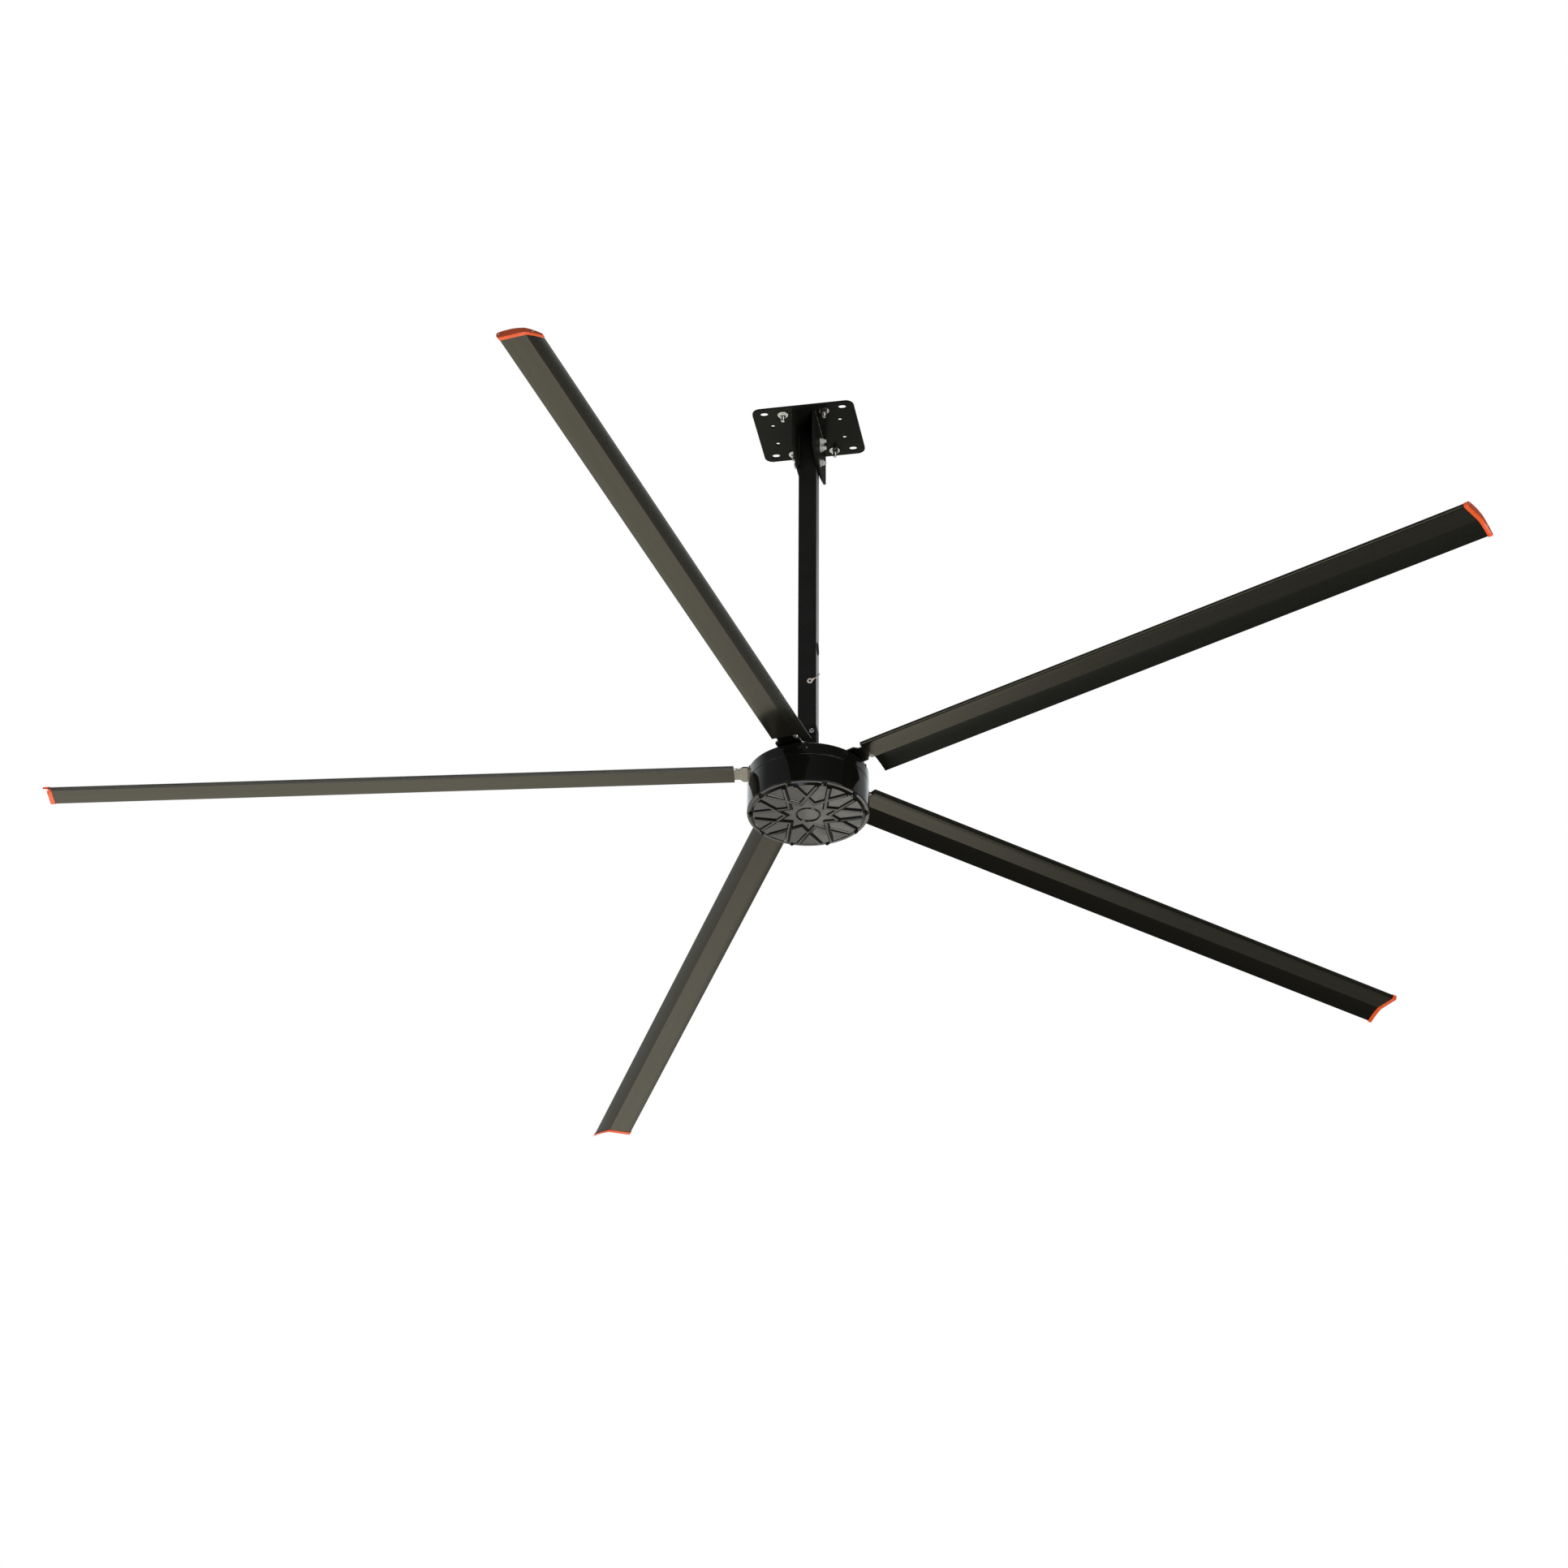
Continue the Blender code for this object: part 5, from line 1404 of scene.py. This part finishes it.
# The tab and safety cable at a blade's root, the boss on the hub's rim and the band's screw
rootLook = {
    "tabSize": (0.046, 0.012, 0.002), "tab": (0.281, 0.048), "tabRound": 0.0058, "tabEdge": 0.0003,
    "tabDrop": 0.0004, "screwAlong": 0.2885, "screw": (0.0042, 0.0028, 0.002, 0.004),
    "boss": (0.2275, 0.0745), "bossRadius": 0.0090, "bossLow": -0.0085, "bossHigh": 0.0010,
    "bossBore": 0.0030, "bossMouth": 0.0040, "bossSink": 0.003,
    "dotTurn": 18.2, "dotDrop": 0.0256, "dotSunk": 0.0002, "dot": (0.0026, 0.0014, 0.0012, 0.003),
    "cable": 0.0011, "route": (
        (0.2885, 0.048, 0.0062), (0.270, 0.0505, 0.0085), (0.249, 0.054, 0.0075),
        (0.237, 0.060, 0.0052), (0.2275, 0.0745, 0.0030),
    ),
}


def tabMesh():
    length, width, thick = rootLook["tabSize"]
    half = Vector((length / 2, 0, 0))
    return loft("root_tab", [
        [point + half for point in roundedRectangle(length, width, rootLook["tabRound"], height)]
        for height in (0, thick)
    ])


def bossMesh():
    look = rootLook
    low, high, sink = look["bossLow"], look["bossHigh"], look["bossSink"]
    return turned("rim_boss", (
        (look["bossBore"], high - sink), (look["bossMouth"], high), (look["bossRadius"], high),
        (look["bossRadius"], low), (look["bossMouth"], low), (look["bossBore"], low + sink),
    ), 48, 0.0008)


def makeBlades():
    iron = ironMesh()
    blade = bladeMesh()
    cap = capMesh()
    ironLevel = hubLook["seatHeight"] + gap
    bladeLevel = ironLevel - gap - bladeLook["wall"]
    bolt = hexagonBolt("iron_bolt", ironLook["bolt"])
    capScrew = crossHead("cap_screw", *capLook["screw"])
    skinScrew = crossHead("blade_screw", *bladeLook["screw"])
    rootScrew = crossHead("root_screw", *rootLook["screw"])
    tab = tabMesh()
    boss = bossMesh()
    dot = crossHead("rim_screw", *rootLook["dot"], recess=False)
    seat = ironLevel + ironLook["thickness"]
    face = bladeLook["length"] + gap + capLook["end"] - capLook["screwSunk"]
    skinAcross = bladeLook["screwAcross"]
    tabAlong, tabAcross = rootLook["tab"]
    tabLevel = ironLevel - rootLook["tabDrop"]

    def addScrew(name, data, place):
        addPiece(name, data, "zinc", "rotor", place)

    for number in range(1, bladeLook["count"] + 1):
        place = hubPlace @ turn("Z", firstBlade + 360 / bladeLook["count"] * (number - 1))
        level = place @ move(0, 0, ironLevel)
        bevel(addFine(f"blade_iron_{number}", iron, "iron_metal", "rotor", level), ironLook["edge"])
        for index, (along, across) in enumerate(ironLook["bolts"], start=1):
            spot = place @ move(along, across, seat) @ turn("Z", 23 * index + 11 * number)
            addScrew(f"iron_bolt_{number}_{index}", bolt, spot)
        root = place @ move(bladeLook["root"], 0, bladeLevel)
        addFine(f"blade_{number}", blade, "blade_bronze", "rotor", root)
        addFine(f"end_cap_{number}", cap, "orange_cap", "rotor", root)
        for index, (across, up) in enumerate(capLook["screws"], start=1):
            spot = root @ move(face, across, up - bladeLook["droop"]) @ turn("Y", 90)
            addScrew(f"cap_screw_{number}_{index}", capScrew, spot @ turn("Z", 20 * number))
        for index, along in enumerate(bladeLook["screws"], start=1):
            fall = bladeLook["droop"] * along / bladeLook["length"]
            up = bladeUpper(bladeLook["front"] + skinAcross) - fall
            spot = root @ move(along, skinAcross, up) @ turn("Z", 37 * index)
            addScrew(f"blade_screw_{number}_{index}", skinScrew, spot)
        spot = place @ move(tabAlong, tabAcross, tabLevel)
        bevel(addPiece(f"root_tab_{number}", tab, "steel", "rotor", spot, "zinc"), rootLook["tabEdge"], 2)
        spot = place @ move(rootLook["screwAlong"], tabAcross, tabLevel) @ turn("X", 180) @ turn("Z", 40)
        addScrew(f"root_screw_{number}", rootScrew, spot)
        path = [place @ Vector(point) for point in smoothPath(rootLook["route"], 6)]
        curvePiece(f"root_cable_{number}", path, rootLook["cable"], "zinc", "rotor")
        addPiece(f"rim_boss_{number}", boss, "hub_black", "rotor", place @ move(*rootLook["boss"], 0))
        spot = move(hubLook["radius"] - rootLook["dotSunk"], 0, -rootLook["dotDrop"]) @ turn("Y", 90)
        addScrew(f"rim_screw_{number}", dot, place @ turn("Z", rootLook["dotTurn"]) @ spot)


# Light by direction: spans are of the direction's height, of how far it points right (X)
# or left, or of how far it points to the back (Y), and the rest are strengths
studioLook = {
    "nadir": 0.06, "nadirSpan": (-0.90, -0.60), "zenithFall": 0.75, "zenithSpan": (0.05, 0.75),
    "nearLow": 0.045, "nearRise": 0.75, "nearSpan": (-0.10, 0.20), "nearFall": 0.55, "topSide": (0.34, 0.50),
    "nearTurn": 0.9, "farSpan": (-0.25, 0.55),
    "leftSpan": (0.112, 0.160), "belowLow": 0.15, "belowRise": 1.20,
    "middle": 0.43, "middleFall": 0.28, "middleSide": (0.20, 0.50), "middleSpan": (-0.46, -0.34),
    "above": 3.00, "aboveSpan": (0.02, 0.12), "topFall": 0.85, "topSpan": (0.555, 0.615),
    "rightFall": 0.65, "rightSpan": (0.15, 0.60),
    "warm": (1.0, 0.965, 0.88), "warmSpan": (-0.35, 0.05), "clear": (0.95, 0.985, 1.0),
    "cool": (0.66, 0.82, 1.0), "coolSpan": (-0.90, -0.66),
    "boxes": (
        # direction, cosine span, strength
        ((-0.740, -0.400, -0.540), (0.985, 0.995), 1.8),
        ((0.760, -0.560, -0.330), (0.930, 0.980), 4.0),
        ((-0.100, -0.020, -0.995), (0.986, 0.996), 9.0),
        ((-0.1285, 0.8345, -0.5360), (0.99984, 0.99996), 1.7),
        ((0, 0, 1), (0.70, 0.86), 1.6),
    ),
    "lensMillimetres": 97.50, "sensorMillimetres": 36.0,
    "cameraAt": (2.4310, -14.1889, -11.0528), "cameraTurn": (10.109, 32.759, -0.347),
    "floorDrop": -27.0, "floorRadius": 26.0, "floorThickness": 0.1, "floorRough": 0.8,
    "floorDark": (0.80, 0.80, 0.79), "floorLight": (0.84, 0.84, 0.83), "floorGlow": (0.55, 0.55, 0.545),
    "lamps": (
        # place, target, size, power
        ((6.0, -9.0, -12.0), (0, 0, -1.8), 6.0, 900.0),
        ((-8.0, 4.0, -9.0), (0, 0, -1.8), 6.0, 700.0),
    ),
}


# A white room to the camera, and a studio with soft boxes to the object
def makeWorld():
    look = studioLook
    world = bpy.data.worlds.new("studio")
    scene.world = world
    world.use_nodes = True
    graph = Graph(world.node_tree)
    way = graph.node("ShaderNodeTexCoord", out="Generated")
    made = graph.node("ShaderNodeSeparateXYZ", None, {0: way}).socket.node
    right, side, height = (Sock(graph, made.outputs[index]) for index in range(3))
    low = graph.step(height, *look["nadirSpan"]) * (1 - look["nadir"]) + look["nadir"]
    high = 1 - graph.step(height, *look["zenithSpan"]) * look["zenithFall"]
    high = high * (1 - graph.step(height, *look["topSpan"]) * look["topFall"])
    near = look["nearLow"] + graph.step(height, *look["nearSpan"]) * look["nearRise"]
    near = near - graph.step(height, *look["topSide"]) * look["nearFall"]
    near = near * (1 - right * look["nearTurn"])
    far = graph.step(side, *look["farSpan"])
    below = look["belowLow"] + graph.step(0 - right, *look["leftSpan"]) * look["belowRise"]
    middle = look["middle"] - graph.step(0 - right, *look["middleSide"]) * look["middleFall"]
    wide = below + graph.step(height, *look["middleSpan"]) * (middle - below)
    wide = wide + graph.step(height, *look["aboveSpan"]) * (look["above"] - wide)
    wide = wide * (1 - graph.step(right, *look["rightSpan"]) * look["rightFall"])
    level = (near + (wide - near) * far) * low * high
    for direction, span, strength in look["boxes"]:
        boxRight, boxSide, boxHeight = Vector(direction).normalized()
        facing = right * boxRight + side * boxSide + height * boxHeight
        level = level + graph.step(facing, *span) * strength
    warmth = graph.blend(graph.step(height, *look["warmSpan"]), look["warm"], look["clear"])
    tint = graph.blend(graph.step(height, *look["coolSpan"]), look["cool"], warmth)
    soft = graph.node("ShaderNodeBackground", None, {"Color": tint, "Strength": level})
    plain = graph.node("ShaderNodeBackground", None, {"Color": (1, 1, 1, 1), "Strength": 1.0})
    seen = graph.node("ShaderNodeLightPath", out="Is Camera Ray")
    through = graph.node("ShaderNodeLightPath", out="Is Transmission Ray")
    shader = graph.node("ShaderNodeMixShader", None, {0: seen + through, 1: soft, 2: plain})
    graph.node("ShaderNodeOutputWorld", None, {"Surface": shader})


def makeStudio():
    look = studioLook
    floorPaint = paint("studio_floor")
    mottle = floorPaint.grain(0.4)
    seen = floorPaint.node("ShaderNodeLightPath", out="Is Camera Ray")
    floorPaint.surface({
        "Base Color": floorPaint.blend(mottle, look["floorDark"], look["floorLight"]),
        "Roughness": look["floorRough"],
        "Emission Color": floorPaint.blend(seen, (0, 0, 0), look["floorGlow"]), "Emission Strength": 1.0,
    })
    high, radius = look["floorDrop"], look["floorRadius"]
    low = high - look["floorThickness"]
    slab = turned("studio_floor", ((0, high), (radius, high), (radius, low), (0, low)), 96, 0.02)
    floor = bpy.data.objects.new("studio_floor", slab)
    floor.data.materials.append(paints["studio_floor"])
    scene.collection.objects.link(floor)
    floor.visible_glossy = False
    floor.visible_diffuse = False
    for number, (place, target, size, power) in enumerate(look["lamps"], start=1):
        data = bpy.data.lights.new(f"lamp_{number}", "AREA")
        data.shape = "DISK"
        data.size = size
        data.energy = power
        lamp = bpy.data.objects.new(data.name, data)
        lamp.location = place
        lamp.rotation_euler = (Vector(target) - Vector(place)).to_track_quat("-Z", "Y").to_euler()
        lamp.visible_camera = False
        lamp.visible_glossy = False
        scene.collection.objects.link(lamp)
    data = bpy.data.cameras.new("photo_camera")
    data.lens = look["lensMillimetres"]
    data.sensor_width = look["sensorMillimetres"]
    data.clip_start = 0.1
    data.clip_end = 200
    camera = bpy.data.objects.new("photo_camera", data)
    about, up, roll = look["cameraTurn"]
    camera.matrix_world = (
        move(*look["cameraAt"]) @ turn("Z", about) @ turn("X", up) @ turn("Y", roll) @ turn("X", 90)
    )
    scene.collection.objects.link(camera)
    scene.camera = camera
    scene.view_settings.view_transform = "Standard"


makePaints()
print("paints made")
makePlate()
makePlateFasteners()
makeCheeks()
makeCrossBolts()
print("ceiling mount made")
makeTube()
makeGrommets()
makeTerminal()
curvePiece("earth_lead_fine", smoothPath(leadRoute, 6), leadRadius, "lead_sheath", "frame", ("earth_lead",))
makeYoke()
print("tube and yoke made")
makeTopCover()
makeDrum()
makeBottomCover()
makeShaft()
makeBearings()
makeMotor()
print("hub and motor made")
makeBlades()
print("blades made")
makeWorld()
makeStudio()
print("studio made")
